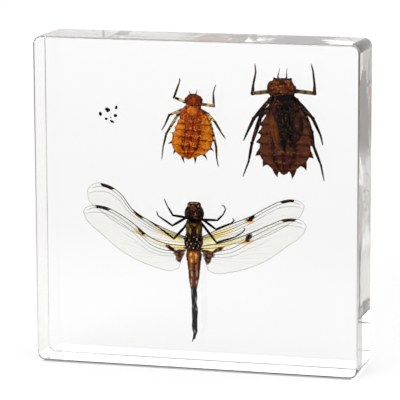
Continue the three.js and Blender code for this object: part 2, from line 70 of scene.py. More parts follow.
def curve_through(knots, station, sought):
    """Rows at the sought stations of one smooth curve. Between two knots it is a cubic whose end slopes are
    the differences of the neighbouring knots over the distance between them."""
    slope = np.gradient(knots, station, axis=0)
    i = np.clip(np.searchsorted(station, sought, side="right") - 1, 0, len(station) - 2)
    span = np.diff(station)[i][:, None]
    w = (sought - station[i])[:, None] / span
    return (
        knots[i] * (1 + 2 * w) * (1 - w) ** 2
        + slope[i] * span * w * (1 - w) ** 2
        + knots[i + 1] * w ** 2 * (3 - 2 * w)
        + slope[i + 1] * span * w ** 2 * (w - 1)
    )


def flow(knots, steps, reach=3):
    """Evenly spaced rows of the smooth curve through the knots. Columns past the place, such as widths, ride
    along."""
    knots = np.asarray(knots, float)
    station = stations(knots, reach)
    return curve_through(knots, station, np.linspace(0.0, station[-1], steps))


def skin(rings):
    """A closed solid, or many alike, from an array of rings [solid, row, side, xyz]: four-sided faces join
    each ring to the next, and a fan about the middle of the first and of the last ring closes the ends. If
    the volume, the sum over faces of corner . (corner x corner) / 6, comes out negative, every face is
    turned."""
    count, rows, sides = rings.shape[:3]
    ends = rings[:, [0, -1]].mean(axis=2)
    points = np.concatenate([rings.reshape(count, rows * sides, 3), ends], axis=1)
    row, side = np.meshgrid(np.arange(rows - 1), np.arange(sides), indexing="ij")
    here = row * sides + side
    beside = row * sides + (side + 1) % sides
    quads = np.stack([here, beside, beside + sides, here + sides], -1).reshape(-1, 4)
    side = np.arange(sides)
    after = (side + 1) % sides
    first = np.stack([np.full(sides, rows * sides), after, side], -1)
    rim = (rows - 1) * sides
    last = np.stack([np.full(sides, rows * sides + 1), side + rim, after + rim], -1)
    triangles = np.concatenate([first, last])
    split = np.concatenate([quads[:, [0, 1, 2]], quads[:, [0, 2, 3]], triangles])
    a, b, c = (points[0][split[:, k]] for k in range(3))
    if np.einsum("ij,ij->i", a, np.cross(b, c)).sum() < 0:
        quads, triangles = quads[:, ::-1], triangles[:, ::-1]
    offset = (np.arange(count) * (rows * sides + 2))[:, None, None]
    quads, triangles = quads[None] + offset, triangles[None] + offset
    return Solid(points.reshape(-1, 3), quads.reshape(-1, 4), triangles.reshape(-1, 3))


def together(*solids):
    """One solid from several: each one's corner numbers are moved on by the points that come before it."""
    offsets = np.cumsum([0] + [len(one.points) for one in solids[:-1]])
    return Solid(
        np.concatenate([one.points for one in solids]),
        np.concatenate([one.quads + offset for one, offset in zip(solids, offsets)]),
        np.concatenate([one.triangles + offset for one, offset in zip(solids, offsets)]),
    )


def tubes(paths, widths, depths, sides, relief=None):
    """Tubes along paths [tube, row, xyz]. At each row an ellipse stands square to the path: across it by the
    cosine of the turn times the width, and deep by the sine times the depth. `relief` multiplies both."""
    along = np.gradient(paths, axis=1)
    along /= np.linalg.norm(along, axis=2, keepdims=True)
    across = np.cross(along, THROUGH + np.array([1e-4, 0.0, 1e-4]))
    across /= np.linalg.norm(across, axis=2, keepdims=True)
    deep = np.cross(along, across)
    turn = np.linspace(0.0, 2 * np.pi, sides, endpoint=False)[:, None]
    swell = 1.0 if relief is None else relief[..., None]
    out = (
        across[:, :, None] * np.cos(turn) * widths[:, :, None, None]
        + deep[:, :, None] * np.sin(turn) * depths[:, :, None, None]
    )
    return skin(paths[:, :, None] + out * swell)


def body(rings, rows, sides, relief=None):
    """One tube through rings of [x, y, z, half width, half depth], smoothed along its length."""
    smooth = flow(rings, rows)
    widths = np.maximum(smooth[:, 3], 0.05)
    depths = np.maximum(smooth[:, 4], 0.05)
    return tubes(smooth[None, :, :3], widths[None], depths[None], sides, relief)


def threads(starts, ends, radius, tip=1.0, sides=3):
    """Straight fine tubes from each start to its end, whose radius at the end is `tip` of that at the
    start."""
    paths = np.stack([starts, ends], axis=1)
    thick = np.broadcast_to(radius, len(starts))
    radii = np.stack([thick, thick * tip], axis=1)
    return tubes(paths, radii, radii, sides)


def knobs(centres, halves, turns, rows=12, sides=16, ripple=0.0):
    """Rounded lumps [lump, xyz]. A lump is its centre plus its half sizes times the cosine and sine of its
    latitude and longitude, rippled by two crossed sine waves, and turned about the y axis."""
    latitude = np.linspace(-0.5 * np.pi, 0.5 * np.pi, rows + 2)[1:-1][:, None]
    turn = np.linspace(0.0, 2 * np.pi, sides, endpoint=False)[None, :]
    wave = 1 + ripple * np.sin(3 * turn + 1.0) * np.sin(4 * latitude + 0.6)
    unit = np.stack([
        np.cos(latitude) * np.cos(turn) * wave,
        np.cos(latitude) * np.sin(turn) * wave,
        np.sin(latitude) * np.ones_like(turn) * wave,
    ], -1)
    scaled = np.asarray(halves, float)[:, None, None, :] * unit[None]
    angle = np.radians(np.asarray(turns, float))[:, None, None]
    x = scaled[..., 0] * np.cos(angle) - scaled[..., 2] * np.sin(angle)
    z = scaled[..., 0] * np.sin(angle) + scaled[..., 2] * np.cos(angle)
    turned = np.stack([x, scaled[..., 1], z], -1)
    return skin(turned + np.asarray(centres, float)[:, None, None, :])


def joint_places(knots, depth_range):
    """Where a limb's joints lie: its [x, z] knots, with y running evenly over the depth range."""
    return np.stack([knots[:, 0], np.linspace(*depth_range, len(knots)), knots[:, 1]], -1)


def limb(knots, depth_range, stout=1.0, knuckle=1.12, rows=9, sides=12):
    """A jointed limb through [x, z, radius] knots. Each stretch is a tube whose radius goes evenly from
    knot to knot, times 1.08 + 0.2 sin(pi w) for its belly, and is drawn in by 0.25 (2w - 1)^8 at both ends.
    A lump `knuckle` times as thick stands at each joint."""
    knots = np.asarray(knots, float)
    places = joint_places(knots, depth_range)
    w = np.linspace(-0.02, 1.02, rows)[None, :]
    paths = places[:-1, None] * (1 - w[..., None]) + places[1:, None] * w[..., None]
    radii = (knots[:-1, 2:] * (1 - w) + knots[1:, 2:] * w) * stout
    radii = radii * (1.08 + 0.2 * np.sin(np.pi * w)) * (1 - 0.25 * (2 * w - 1) ** 8)
    size = np.repeat(knots[1:-1, 2:] * stout * knuckle, 3, axis=1)
    return together(tubes(paths, radii, radii, sides), knobs(places[1:-1], size, np.zeros(len(size)), 7, 10))


def limb_bristles(knots, depth_range, pitch, length, radius, first=1):
    """Bristles in pairs along a limb's outer stretches, one each side, every `pitch`. Each leans towards the
    limb's end: its direction is the outward side plus 0.7 of the limb's own direction."""
    knots = np.asarray(knots, float)
    places = joint_places(knots, depth_range)[first:]
    thick = knots[first:, 2]
    run = stations(places, 3)
    station = np.arange(pitch * 0.6, run[-1], pitch)
    roots, ahead, behind = (
        np.stack([np.interp(station + step, run, places[:, k]) for k in range(3)], -1)
        for step in (0.0, 0.1, -0.1)
    )
    along = ahead - behind
    along /= np.linalg.norm(along, axis=1, keepdims=True)
    out = np.cross(along, THROUGH)
    side = np.repeat([[1.0], [-1.0]], len(roots), axis=0)
    out = np.tile(out, (2, 1)) * side + np.tile(along, (2, 1)) * 0.7
    out /= np.linalg.norm(out, axis=1, keepdims=True)
    roots = np.tile(roots, (2, 1)) + out * np.tile(np.interp(station, run, thick), 2)[:, None] * 0.5
    reach = length * (0.7 + 0.6 * CHANCE.random(len(roots)))[:, None]
    return threads(roots, roots + out * reach, radius, tip=0.15)


# ---- Finishes ----

def tint(red, green, blue):
    """The shader's colour from the usual 0 to 255 numbers."""
    share = np.array([red, green, blue]) / 255.0
    return (*np.where(share <= 0.04045, share / 12.92, ((share + 0.055) / 1.055) ** 2.4), 1.0)


def feed(tree, node, inputs):
    """Sets a node's inputs, or joins them up to other nodes' results."""
    for key, value in dict(inputs).items():
        if isinstance(value, bpy.types.NodeSocket):
            tree.links.new(value, node.inputs[key])
        else:
            node.inputs[key].default_value = value


def add(tree, kind, inputs=(), **settings):
    """A new shader node with its settings made and its inputs set or joined up."""
    made = tree.nodes.new("ShaderNode" + kind)
    for key, value in settings.items():
        setattr(made, key, value)
    feed(tree, made, inputs)
    return made


def worked(tree, operation, *values):
    """One sum, such as a product or a difference, on numbers or other nodes' results."""
    return add(tree, "Math", dict(enumerate(values)), operation=operation).outputs[0]


def mixed(tree, amount, first, second):
    """The first colour where the amount is nought, the second where it is one, and their mean in between."""
    return add(tree, "Mix", {0: amount, 6: first, 7: second}, data_type="RGBA").outputs[2]


def noise(tree, here, scale, detail=3.0):
    """Cloudy noise, mostly between 0.3 and 0.7."""
    return add(tree, "TexNoise", {"Vector": here, "Scale": scale, "Detail": detail}).outputs["Fac"]


def between(tree, value, low, high, out_low=0.0, out_high=1.0):
    """Goes from out_low to out_high as the value goes from low to high, easing in and out, and stays
    there."""
    inputs = {"Value": value, "From Min": low, "From Max": high, "To Min": out_low, "To Max": out_high}
    return add(tree, "MapRange", inputs, interpolation_type="SMOOTHSTEP").outputs["Result"]


def stain(tree, here, place, centre, halves, turn=0.0, soft=0.3):
    """A soft-edged oval patch: one inside the oval at `centre` [x, z] in millimetres of the insect's own
    frame, and none outside it, whatever the depth."""
    middle = ((place[0] + centre[0]) * MM, 0.0, (place[1] + centre[1]) * MM)
    size = (halves[0] * MM, 1.0, halves[1] * MM)
    inputs = {"Vector": here, "Location": middle, "Rotation": (0.0, -math.radians(turn), 0.0), "Scale": size}
    turned = add(tree, "Mapping", inputs, vector_type="TEXTURE").outputs["Vector"]
    flat = add(tree, "VectorMath", {0: turned, 1: (1.0, 0.0, 1.0)}, operation="MULTIPLY").outputs["Vector"]
    length = add(tree, "VectorMath", {0: flat}, operation="LENGTH").outputs["Value"]
    return between(tree, length, 1 + soft, 1 - soft)


def stains(tree, here, place, patches):
    """The strongest of several oval patches at each point."""
    whole = stain(tree, here, place, *patches[0])
    for patch in patches[1:]:
        other = stain(tree, here, place, *patch)
        whole = worked(tree, "MAXIMUM", whole, other)
    return whole


def wandering(tree, here, amount, scale):
    """The object's own coordinates, pushed about by noise of up to half the amount in millimetres, so that a
    patch's edge isn't a clean curve."""
    cloud = add(tree, "TexNoise", {"Vector": here, "Scale": scale, "Detail": 2.0}).outputs["Color"]
    shift = add(tree, "VectorMath", {0: cloud, 1: (0.5, 0.5, 0.5)}, operation="SUBTRACT").outputs["Vector"]
    sized = add(tree, "VectorMath", {0: shift, "Scale": amount * MM}, operation="SCALE").outputs["Vector"]
    return add(tree, "VectorMath", {0: here, 1: sized}, operation="ADD").outputs["Vector"]


def new_finish(name):
    """A named finish, the tree of nodes that makes it and the shader at the tree's end."""
    material = bpy.data.materials.new(name)
    material.use_nodes = True
    return material, material.node_tree, material.node_tree.nodes["Principled BSDF"]


def shell(name, place, ground, patches=(), speckle=None, mottle=0.35, rough=0.5, relief=0.25, grain=1400.0):
    """Dried insect shell: a ground colour, oval patches of other colours over it, mottled lighter and darker
    by noise, with pitted relief. `patches` holds [colour, strength, ovals] and `speckle` [colour, scale,
    level]. The resin wets it, so it has hardly any shine."""
    material, tree, shader = new_finish(name)
    here = add(tree, "TexCoord").outputs["Object"]
    loose = wandering(tree, here, 0.5, 1500.0)
    colour = tint(*ground)
    for patch_colour, strength, ovals in patches:
        mask = stains(tree, loose, place, ovals)
        amount = worked(tree, "MULTIPLY", mask, strength)
        colour = mixed(tree, amount, colour, tint(*patch_colour))
    if speckle:
        dot_colour, dot_scale, dot_level = speckle
        dots = between(tree, noise(tree, here, dot_scale, 1.0), dot_level, dot_level + 0.07)
        colour = mixed(tree, dots, colour, tint(*dot_colour))
    cloud = noise(tree, here, grain * 0.6, 4.0)
    shade = between(tree, cloud, 0.3, 0.7, 1 - mottle, 1 + mottle * 0.5)
    toned = add(tree, "Mix", {0: 1.0, 6: colour, 7: shade}, data_type="RGBA", blend_type="MULTIPLY")
    pits = add(tree, "TexVoronoi", {"Vector": here, "Scale": grain * 2.0}).outputs["Distance"]
    height = worked(tree, "ADD", pits, cloud)
    bump = add(tree, "Bump", {"Height": height, "Strength": relief, "Distance": 0.05 * MM}).outputs["Normal"]
    feed(tree, shader, {
        "Base Color": toned.outputs[2], "Normal": bump, "Specular IOR Level": 0.03,
        "Roughness": between(tree, cloud, 0.2, 0.8, rough - 0.12, rough + 0.12),
    })
    return material


def resin_finish():
    """Clear cast resin: it passes light with a refractive index of 1.5 and takes up a very little of it."""
    material, tree, shader = new_finish("clear_cast_resin")
    feed(tree, shader, {
        "Base Color": (1.0, 1.0, 1.0, 1.0), "Roughness": 0.0, "IOR": 1.5, "Transmission Weight": 1.0,
    })
    depth = add(tree, "VolumeAbsorption", {"Color": (0.885, 0.88, 0.87, 1.0), "Density": 18.0})
    feed(tree, tree.nodes["Material Output"], {"Volume": depth.outputs["Volume"]})
    return material


def film_finish(name, yellows, ambers, browns):
    """A wing's film: it passes light straight on, hardly tinted where it is clear, pale yellow or amber
    where it is stained, and is opaque brown broken into small cells in the dark patches. From 12 to 15 mm
    aside of the body the cells fade out of the brown."""
    material, tree, shader = new_finish(name)
    here = add(tree, "TexCoord").outputs["Object"]
    loose = wandering(tree, here, 0.7, 1100.0)
    yellow = stains(tree, loose, DRAGONFLY_PLACE, yellows)
    amber = stains(tree, loose, DRAGONFLY_PLACE, ambers)
    brown = stains(tree, loose, DRAGONFLY_PLACE, browns)
    cells = add(tree, "TexVoronoi", {"Vector": here, "Scale": 1150.0}).outputs["Distance"]
    pale_cells = between(tree, cells, 0.28, 0.6, 1.0, 0.0)
    brown_colour = mixed(tree, pale_cells, tint(48, 18, 6), tint(146, 94, 64))
    aside = add(tree, "SeparateXYZ", {"Vector": here}).outputs["X"]
    aside = worked(tree, "ABSOLUTE", worked(tree, "SUBTRACT", aside, DRAGONFLY_PLACE[0] * MM))
    brown_colour = mixed(tree, between(tree, aside, 0.012, 0.015), brown_colour, tint(44, 20, 8))
    clear = mixed(tree, noise(tree, here, 260.0), tint(255, 255, 254), tint(252, 252, 248))
    colour = mixed(tree, yellow, clear, tint(251, 233, 158))
    colour = mixed(tree, amber, colour, tint(248, 202, 116))
    colour = mixed(tree, brown, colour, brown_colour)
    opaque = worked(tree, "MULTIPLY_ADD", brown, 0.94, 0.006)
    feed(tree, shader, {
        "Base Color": colour, "IOR": 1.0, "Roughness": 0.0, "Specular IOR Level": 0.05,
        "Transmission Weight": worked(tree, "SUBTRACT", 1.0, opaque),
    })
    return material


def back_shell(name, sides, middle, dark, bright, streak_at):
    """The shell of a nymph's abdomen. The whole number part of `segment` counts its segments and `across`
    runs from -1 at the left margin to 1 at the right. Each segment ends in a dark line with a row of bright
    specks before it. The middle is darker than the sides, with a dark line down it and a dark streak on both
    sides of that, `streak_at` of the way out. Noise pushes all of these about."""
    material, tree, shader = new_finish(name)
    here = add(tree, "TexCoord").outputs["Object"]
    segment = add(tree, "Attribute", attribute_name="segment").outputs["Fac"]
    across = add(tree, "Attribute", attribute_name="across").outputs["Fac"]
    ragged = noise(tree, here, 1300.0, 3.0)
    push = between(tree, ragged, 0.25, 0.75, -0.16, 0.16)
    sway = between(tree, ragged, 0.25, 0.75, -0.07, 0.07)
    out = worked(tree, "ADD", worked(tree, "ABSOLUTE", across), sway)
    way = worked(tree, "FRACT", worked(tree, "ADD", segment, push))
    colour = mixed(tree, between(tree, out, 0.15, 0.85), tint(*middle), tint(*sides))
    blotch = between(tree, noise(tree, here, 1000.0, 4.0), 0.42, 0.6)
    colour = mixed(tree, worked(tree, "MULTIPLY", blotch, 0.65), colour, tint(*middle))
    off_streak = worked(tree, "ABSOLUTE", worked(tree, "SUBTRACT", out, streak_at))
    for amount, *ramp in (
        (0.85, off_streak, 0.12, 0.04), (0.9, out, 0.1, 0.02),
        (0.85, way, 0.74, 0.92), (0.7, out, 0.93, 1.02),
    ):
        share = worked(tree, "MULTIPLY", between(tree, *ramp), amount)
        colour = mixed(tree, share, colour, tint(*dark))
    row = worked(tree, "SUBTRACT", way, 0.62)
    row = between(tree, worked(tree, "ABSOLUTE", row), 0.34, 0.1, 0.0, 0.8)
    specks = between(tree, noise(tree, here, 1900.0, 1.0), 0.52, 0.62)
    specks = worked(tree, "MULTIPLY", specks, row)
    colour = mixed(tree, specks, colour, tint(*bright))
    bump = add(tree, "Bump", {"Height": ragged, "Strength": 0.3, "Distance": 0.08 * MM}).outputs["Normal"]
    feed(tree, shader, {
        "Base Color": colour, "Normal": bump, "Specular IOR Level": 0.03,
        "Roughness": between(tree, ragged, 0.2, 0.8, 0.35, 0.6),
    })
    return material


# ---- Making pieces ----

def stood(name, data):
    """A new object in the scene."""
    made = bpy.data.objects.new(name, data)
    bpy.context.scene.collection.objects.link(made)
    return made


def piece(name, solid, place, finish, slot, *nodes, marks=()):
    """A named object from a solid in an insect's own millimetres, set in place in the block. Faces that lie
    square to an axis are left flat, so that a clear flat face bends light as one plane."""
    mesh = bpy.data.meshes.new(name)
    points = (solid.points + np.array([place[0], 0.0, place[1]])) * MM
    mesh.from_pydata(points.tolist(), [], solid.quads.tolist() + solid.triangles.tolist())
    normals = np.empty(len(mesh.polygons) * 3, dtype=np.float32)
    mesh.polygons.foreach_get("normal", normals)
    rounded = np.abs(normals.reshape(-1, 3)).max(axis=1) < 0.99999
    mesh.polygons.foreach_set("use_smooth", rounded)
    for key, values in dict(marks).items():
        mesh.attributes.new(key, "FLOAT", "POINT").data.foreach_set("value", values.astype(np.float32))
    mesh.materials.append(finish)
    mesh.update()
    made = stood(name, mesh)
    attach(made, "root")
    if nodes:
        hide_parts(*nodes)
    return made


# ---- The block ----

def slab():
    """A rounded square, 110 by 110, carried through the 20 mm depth. Towards a face each row is drawn
    in by that edge's rounding e: by e (1 - sin a) across and e (1 - cos a) along, as a goes from nothing to a
    right angle. The back edges are all but sharp."""
    edge_steps, corner_steps = 9, 13
    a = np.linspace(0.0, 0.5 * np.pi, edge_steps)
    in_by, along_by = 1 - np.sin(a), 1 - np.cos(a)
    inset = np.concatenate([FRONT_EDGE * in_by, (BACK_EDGE * in_by)[::-1]])
    y = np.concatenate([FRONT_EDGE * along_by - HALF_DEPTH, (HALF_DEPTH - BACK_EDGE * along_by)[::-1]])
    quarter = np.linspace(0.0, 0.5 * np.pi, corner_steps)
    turn = np.concatenate([quarter + k * 0.5 * np.pi for k in range(4)])
    signs = np.repeat([[1, 1], [-1, 1], [-1, -1], [1, -1]], corner_steps, axis=0)
    middle = signs * (HALF_WIDTH - CORNER)
    radius = (CORNER - inset)[:, None]
    x = middle[:, 0] + radius * np.cos(turn)
    z = middle[:, 1] + radius * np.sin(turn) + HALF_WIDTH
    return skin(np.stack([x, np.repeat(y[:, None], x.shape[1], axis=1), z], -1)[None])


piece("resin_block", slab(), BLOCK_PLACE, resin_finish(), "clear_resin", "resin_front", "resin_back")


# ---- The adult ----

dark_leg = shell("adult_leg_shell", DRAGONFLY_PLACE, (14, 12, 12), mottle=0.2, rough=0.4)
thorax_shell = shell(
    "adult_thorax_shell", DRAGONFLY_PLACE, (58, 30, 14),
    patches=[
        ((112, 96, 52), 0.8, [((-1.7, 7.4), (0.7, 1.6), 8), ((1.9, 6.8), (0.6, 1.5), -8)]),
        ((190, 172, 82), 0.9, [
            ((-0.75, 6.3), (0.22, 1.1)), ((-1.9, 8.1), (0.25, 0.5)), ((1.6, 6.2), (0.18, 0.6)),
        ]),
        ((12, 8, 6), 0.95, [((0.0, 9.9), (2.6, 0.9)), ((0.2, 2.2), (3.6, 2.5)), ((0.2, 6.9), (0.2, 2.0))]),
    ],
    speckle=((122, 84, 44), 1200.0, 0.60), mottle=0.5,
)
head_shell = shell(
    "adult_head_shell", DRAGONFLY_PLACE, (34, 25, 23),
    patches=[
        ((98, 48, 36), 0.85, [((0.2, 14.0), (1.2, 0.9)), ((-0.6, 12.5), (0.5, 0.45))]),
        ((214, 158, 104), 0.9, [
            ((-0.5, 15.55), (0.7, 0.14)), ((1.0, 15.5), (0.6, 0.14)), ((-1.4, 14.6), (0.14, 0.5)),
            ((1.8, 14.6), (0.14, 0.5)), ((0.2, 14.9), (0.5, 0.1)),
        ]),
    ],
    speckle=((150, 96, 62), 1500.0, 0.60),
)
eye_shell = shell(
    "adult_eye", DRAGONFLY_PLACE, (36, 29, 29),
    speckle=((92, 64, 52), 1300.0, 0.62), mottle=0.2, rough=0.3, relief=0.4, grain=4500.0,
)
abdomen_shell = shell(
    "adult_abdomen_shell", DRAGONFLY_PLACE, (16, 14, 18),
    patches=[
        ((120, 52, 15), 1.0, [((0.0, -5.3), (3.4, 7.6), 0, 0.1)]),
        ((188, 106, 32), 0.9, [
            ((0.05, -2.8), (1.5, 2.4), 0, 0.4), ((-0.8, -6.2), (0.4, 1.4)), ((1.2, -6.0), (0.35, 1.5)),
        ]),
        # painted highlights: golden glints on the top of the front segments
        ((252, 206, 120), 0.9, [
            ((-0.7, -1.5), (0.35, 0.6)), ((1.1, -2.2), (0.35, 0.9)), ((-0.5, -3.7), (0.3, 0.6)),
        ]),
        # dark midline streak, a dark spot and dark joint lines, with painted shade down both sides: the four
        # long ovals off the middle
        ((36, 15, 6), 0.92, [
            ((0.4, -7.6), (0.32, 4.8)), ((-2.35, -4.4), (0.75, 4.6), 6), ((2.45, -4.4), (0.7, 4.6), -8),
            ((-1.8, -9.8), (0.55, 3.2), 5), ((1.85, -9.4), (0.5, 3.4), -6),
            ((0.5, -4.9), (0.9, 0.4)), ((0.2, -0.3), (2.2, 0.3)), ((0.0, -7.4), (2.0, 0.16)),
            ((0.0, -10.5), (1.8, 0.16)),
        ]),
        ((214, 164, 124), 0.9, [
            ((-0.45, -8.3), (0.24, 0.9)), ((1.2, -8.2), (0.26, 1.1)), ((-0.65, -10.8), (0.26, 0.7)),
            ((1.0, -11.2), (0.26, 0.6)), ((-0.8, -12.3), (0.2, 0.6)),
        ]),
        ((168, 166, 170), 0.75, [
            ((-0.6, -14.6), (0.22, 1.4)), ((0.75, -17.4), (0.22, 1.2)), ((-0.4, -19.6), (0.28, 0.6)),
            ((0.8, -20.4), (0.2, 0.5)), ((0.2, -28.0), (0.25, 0.5)),
        ]),
    ],
    mottle=0.4,
)
vein_shell = shell("wing_vein", DRAGONFLY_PLACE, (44, 38, 16), mottle=0.3, rough=0.55, relief=0.1)
fine_vein_shell = shell("wing_net", DRAGONFLY_PLACE, (112, 96, 76), mottle=0.2, rough=0.6, relief=0.1)
stigma_shell = shell("wing_mark", DRAGONFLY_PLACE, (48, 36, 28), mottle=0.35, rough=0.5)
hinge_shell = shell("wing_hinge", DRAGONFLY_PLACE, (190, 168, 136), mottle=0.5, rough=0.5)

# Rings of [x, y, z, half width, half depth], from the face backwards.
ADULT_HEAD = [
    [0.2, 0.2, 15.8, 1.7, 0.8], [0.2, 0.2, 15.4, 2.15, 1.4], [0.2, 0.2, 14.5, 2.35, 2.0],
    [0.2, 0.3, 13.2, 2.6, 2.3], [0.2, 0.3, 12.0, 2.7, 2.3], [0.1, 0.4, 10.9, 2.5, 1.9],
    [0.1, 0.5, 10.1, 1.8, 1.6],
]
ADULT_BODY = [
    [0.2, 0.4, 12.2, 2.0, 1.7], [0.1, 0.5, 10.9, 1.9, 1.9], [0.1, 0.6, 10.1, 1.9, 1.8],
    [0.0, 0.7, 9.3, 2.5, 2.6], [0.0, 0.8, 7.4, 2.8, 3.2], [0.0, 0.8, 5.4, 2.6, 3.5],
    [-0.1, 0.6, 3.6, 3.1, 3.4], [-0.1, 0.5, 1.3, 3.0, 2.9], [0.0, 0.4, 0.1, 2.3, 2.2],
    [0.0, 0.4, -0.3, 1.9, 1.8],
]
# [x, z, half width], from the waist to the tip.
ADULT_ABDOMEN = [
    [0.0, 0.4, 2.3], [0.0, -2.2, 2.7], [0.0, -4.6, 2.35], [0.05, -7.0, 2.05], [-0.05, -10.4, 1.7],
    [-0.1, -12.4, 1.3], [-0.1, -13.8, 1.05], [0.05, -16.2, 1.05], [0.05, -18.9, 0.87], [0.2, -20.6, 1.05],
    [0.2, -24.0, 0.9], [0.15, -26.8, 0.93], [0.3, -28.5, 0.75], [0.2, -29.4, 0.4],
]
ABDOMEN_JOINTS = np.array([-1.2, -4.3, -7.4, -10.6, -13.8, -17.6, -20.9, -24.0, -27.0, -28.6])
ABDOMEN_Y = 0.4
ABDOMEN_DEPTH = 0.85


def adult_piece(name, solid, finish, *nodes):
    """A piece of the adult."""
    return piece(name, solid, DRAGONFLY_PLACE, finish, "dragonfly_shell", *nodes)


def thorax():
    """The neck and thorax: rings smoothed along the body and rippled by a sine, with a low ridge down the
    middle of the back and a sunk seam on both sides of it, each a bell curve of the turn about the body."""
    rows, sides = 100, 56
    turn = np.linspace(0.0, 2 * np.pi, sides, endpoint=False)

    def bell(middle, width):
        """One at the middle, and less by exp(-(distance / width) squared) away from it."""
        return np.exp(-(((turn - middle + np.pi) % (2 * np.pi) - np.pi) / width) ** 2)

    back = 1.5 * np.pi
    around = 1 + 0.03 * bell(back, 0.12) - 0.035 * (bell(back - 0.75, 0.08) + bell(back + 0.75, 0.08))
    along = 1 + 0.02 * np.sin(np.linspace(0, 16, rows))
    return body(ADULT_BODY, rows, sides, relief=(along[:, None] * around[None])[None])


def abdomen():
    """Ten segments: the half width runs smoothly down the body and each segment flares by a twentieth to its
    hind rim, then steps in over a bell curve at the joint. A low keel runs down the middle of the back."""
    rows, sides = 240, 40
    knots = np.array(ADULT_ABDOMEN)
    smooth = flow(np.stack([knots[:, 0], 0 * knots[:, 0] + ABDOMEN_Y, knots[:, 1], knots[:, 2]], -1), rows)
    z = smooth[:, 2]
    gap = np.abs(z[:, None] - ABDOMEN_JOINTS[None])
    waist = 1 - 0.11 * np.exp(-((gap / 0.16) ** 2)).sum(axis=1)
    rim = 1 + 0.04 * np.exp(-(((z[:, None] - 0.4 - ABDOMEN_JOINTS[None]) / 0.3) ** 2)).sum(axis=1)
    turn = np.linspace(0.0, 2 * np.pi, sides, endpoint=False)
    keel = 1 + 0.05 * np.exp(-(((turn - 1.5 * np.pi) / 0.2) ** 2))
    width = smooth[:, 3]
    relief = (waist * rim)[None, :, None] * keel[None, None]
    return tubes(smooth[None, :, :3], width[None], width[None] * ABDOMEN_DEPTH, sides, relief)


claspers = together(
    limb([[0.1, -28.6, 0.3], [-0.2, -30.2, 0.26], [-0.7, -31.8, 0.1]], (ABDOMEN_Y, ABDOMEN_Y)),
    limb([[0.3, -28.6, 0.3], [0.3, -29.8, 0.24], [0.1, -31.0, 0.1]], (ABDOMEN_Y, ABDOMEN_Y)),
)
adult_piece("adult_thorax", thorax(), thorax_shell, "dragonfly")
adult_piece("adult_abdomen", together(abdomen(), claspers), abdomen_shell)

head = together(
    body(ADULT_HEAD, 60, 48),
    knobs([[0.25, -1.2, 14.1]], [[1.5, 1.3, 1.5]], [0], 30, 36, 0.05),
    knobs([[-0.9, 0.0, 15.35], [1.3, 0.0, 15.35]], [[0.75, 0.8, 0.5]] * 2, [14, -14], 14, 18, 0.08),
)
eyes = knobs([[-1.45, 0.0, 12.4], [1.9, 0.0, 12.4]], [[1.6, 2.3, 2.45]] * 2, [-14, 14], 44, 52)
adult_piece("adult_head", head, head_shell)
adult_piece("adult_eyes", eyes, eye_shell)

# Each leg's joints from the body to the claws, as [x, z, radius].
ADULT_LEGS = [
    [[-1.4, 9.6, 0.3], [-3.3, 10.3, 0.3], [-7.4, 10.8, 0.25], [-9.2, 13.8, 0.16], [-10.3, 16.3, 0.1]],
    [[-1.2, 11.0, 0.3], [-3.0, 10.1, 0.3], [-7.6, 7.3, 0.26], [-12.5, 10.5, 0.16], [-12.9, 12.0, 0.1]],
    [[-1.6, 9.4, 0.3], [-3.6, 6.8, 0.3], [-7.1, 2.9, 0.26], [-12.3, 6.6, 0.17], [-15.9, 8.9, 0.1]],
    [[1.2, 9.7, 0.3], [7.8, 9.8, 0.26], [9.8, 11.8, 0.17], [10.7, 13.7, 0.14], [10.2, 14.8, 0.12],
     [9.4, 14.9, 0.09]],
    [[1.3, 10.8, 0.3], [7.3, 6.7, 0.27], [12.7, 9.1, 0.17], [13.7, 10.1, 0.13], [13.1, 10.9, 0.09]],
    [[1.2, 9.9, 0.3], [7.5, 2.2, 0.28], [13.8, 4.4, 0.18], [16.5, 6.2, 0.14], [17.3, 7.2, 0.11],
     [16.9, 7.9, 0.09]],
]
ADULT_LEG_DEPTHS = (2.2, 1.0)
adult_piece("adult_legs", together(*[limb(knots, ADULT_LEG_DEPTHS, 1.22) for knots in ADULT_LEGS]), dark_leg)
adult_bristles = [limb_bristles(knots, ADULT_LEG_DEPTHS, 0.55, 0.55, 0.022) for knots in ADULT_LEGS]
adult_piece("adult_leg_bristles", together(*adult_bristles), dark_leg)


def thorax_down():
    """Fine hairs on the thorax: roots spread by chance over the rings' ellipses, leaning out and towards the
    tail."""
    count = 1500
    rings = flow(ADULT_BODY[2:8], 60)
    row = CHANCE.integers(0, len(rings), count)
    turn = CHANCE.random(count) * 2 * np.pi
    centre, width, depth = rings[row, :3], rings[row, 3], rings[row, 4]
    out = np.stack([np.cos(turn), np.sin(turn), np.zeros(count)], -1)
    roots = centre + out * np.stack([width, depth, width], -1) * 0.98
    lean = out + np.array([0.0, 0.0, -0.7]) + 0.3 * CHANCE.standard_normal((count, 3))
    lean /= np.linalg.norm(lean, axis=1, keepdims=True)
    return threads(roots, roots + lean * (0.3 + 0.3 * CHANCE.random(count))[:, None], 0.014, tip=0.2)


adult_piece("adult_down", thorax_down(), vein_shell)


# ---- Wings ----
# In wing axes s runs from the hinge to the tip and t towards the leading edge.

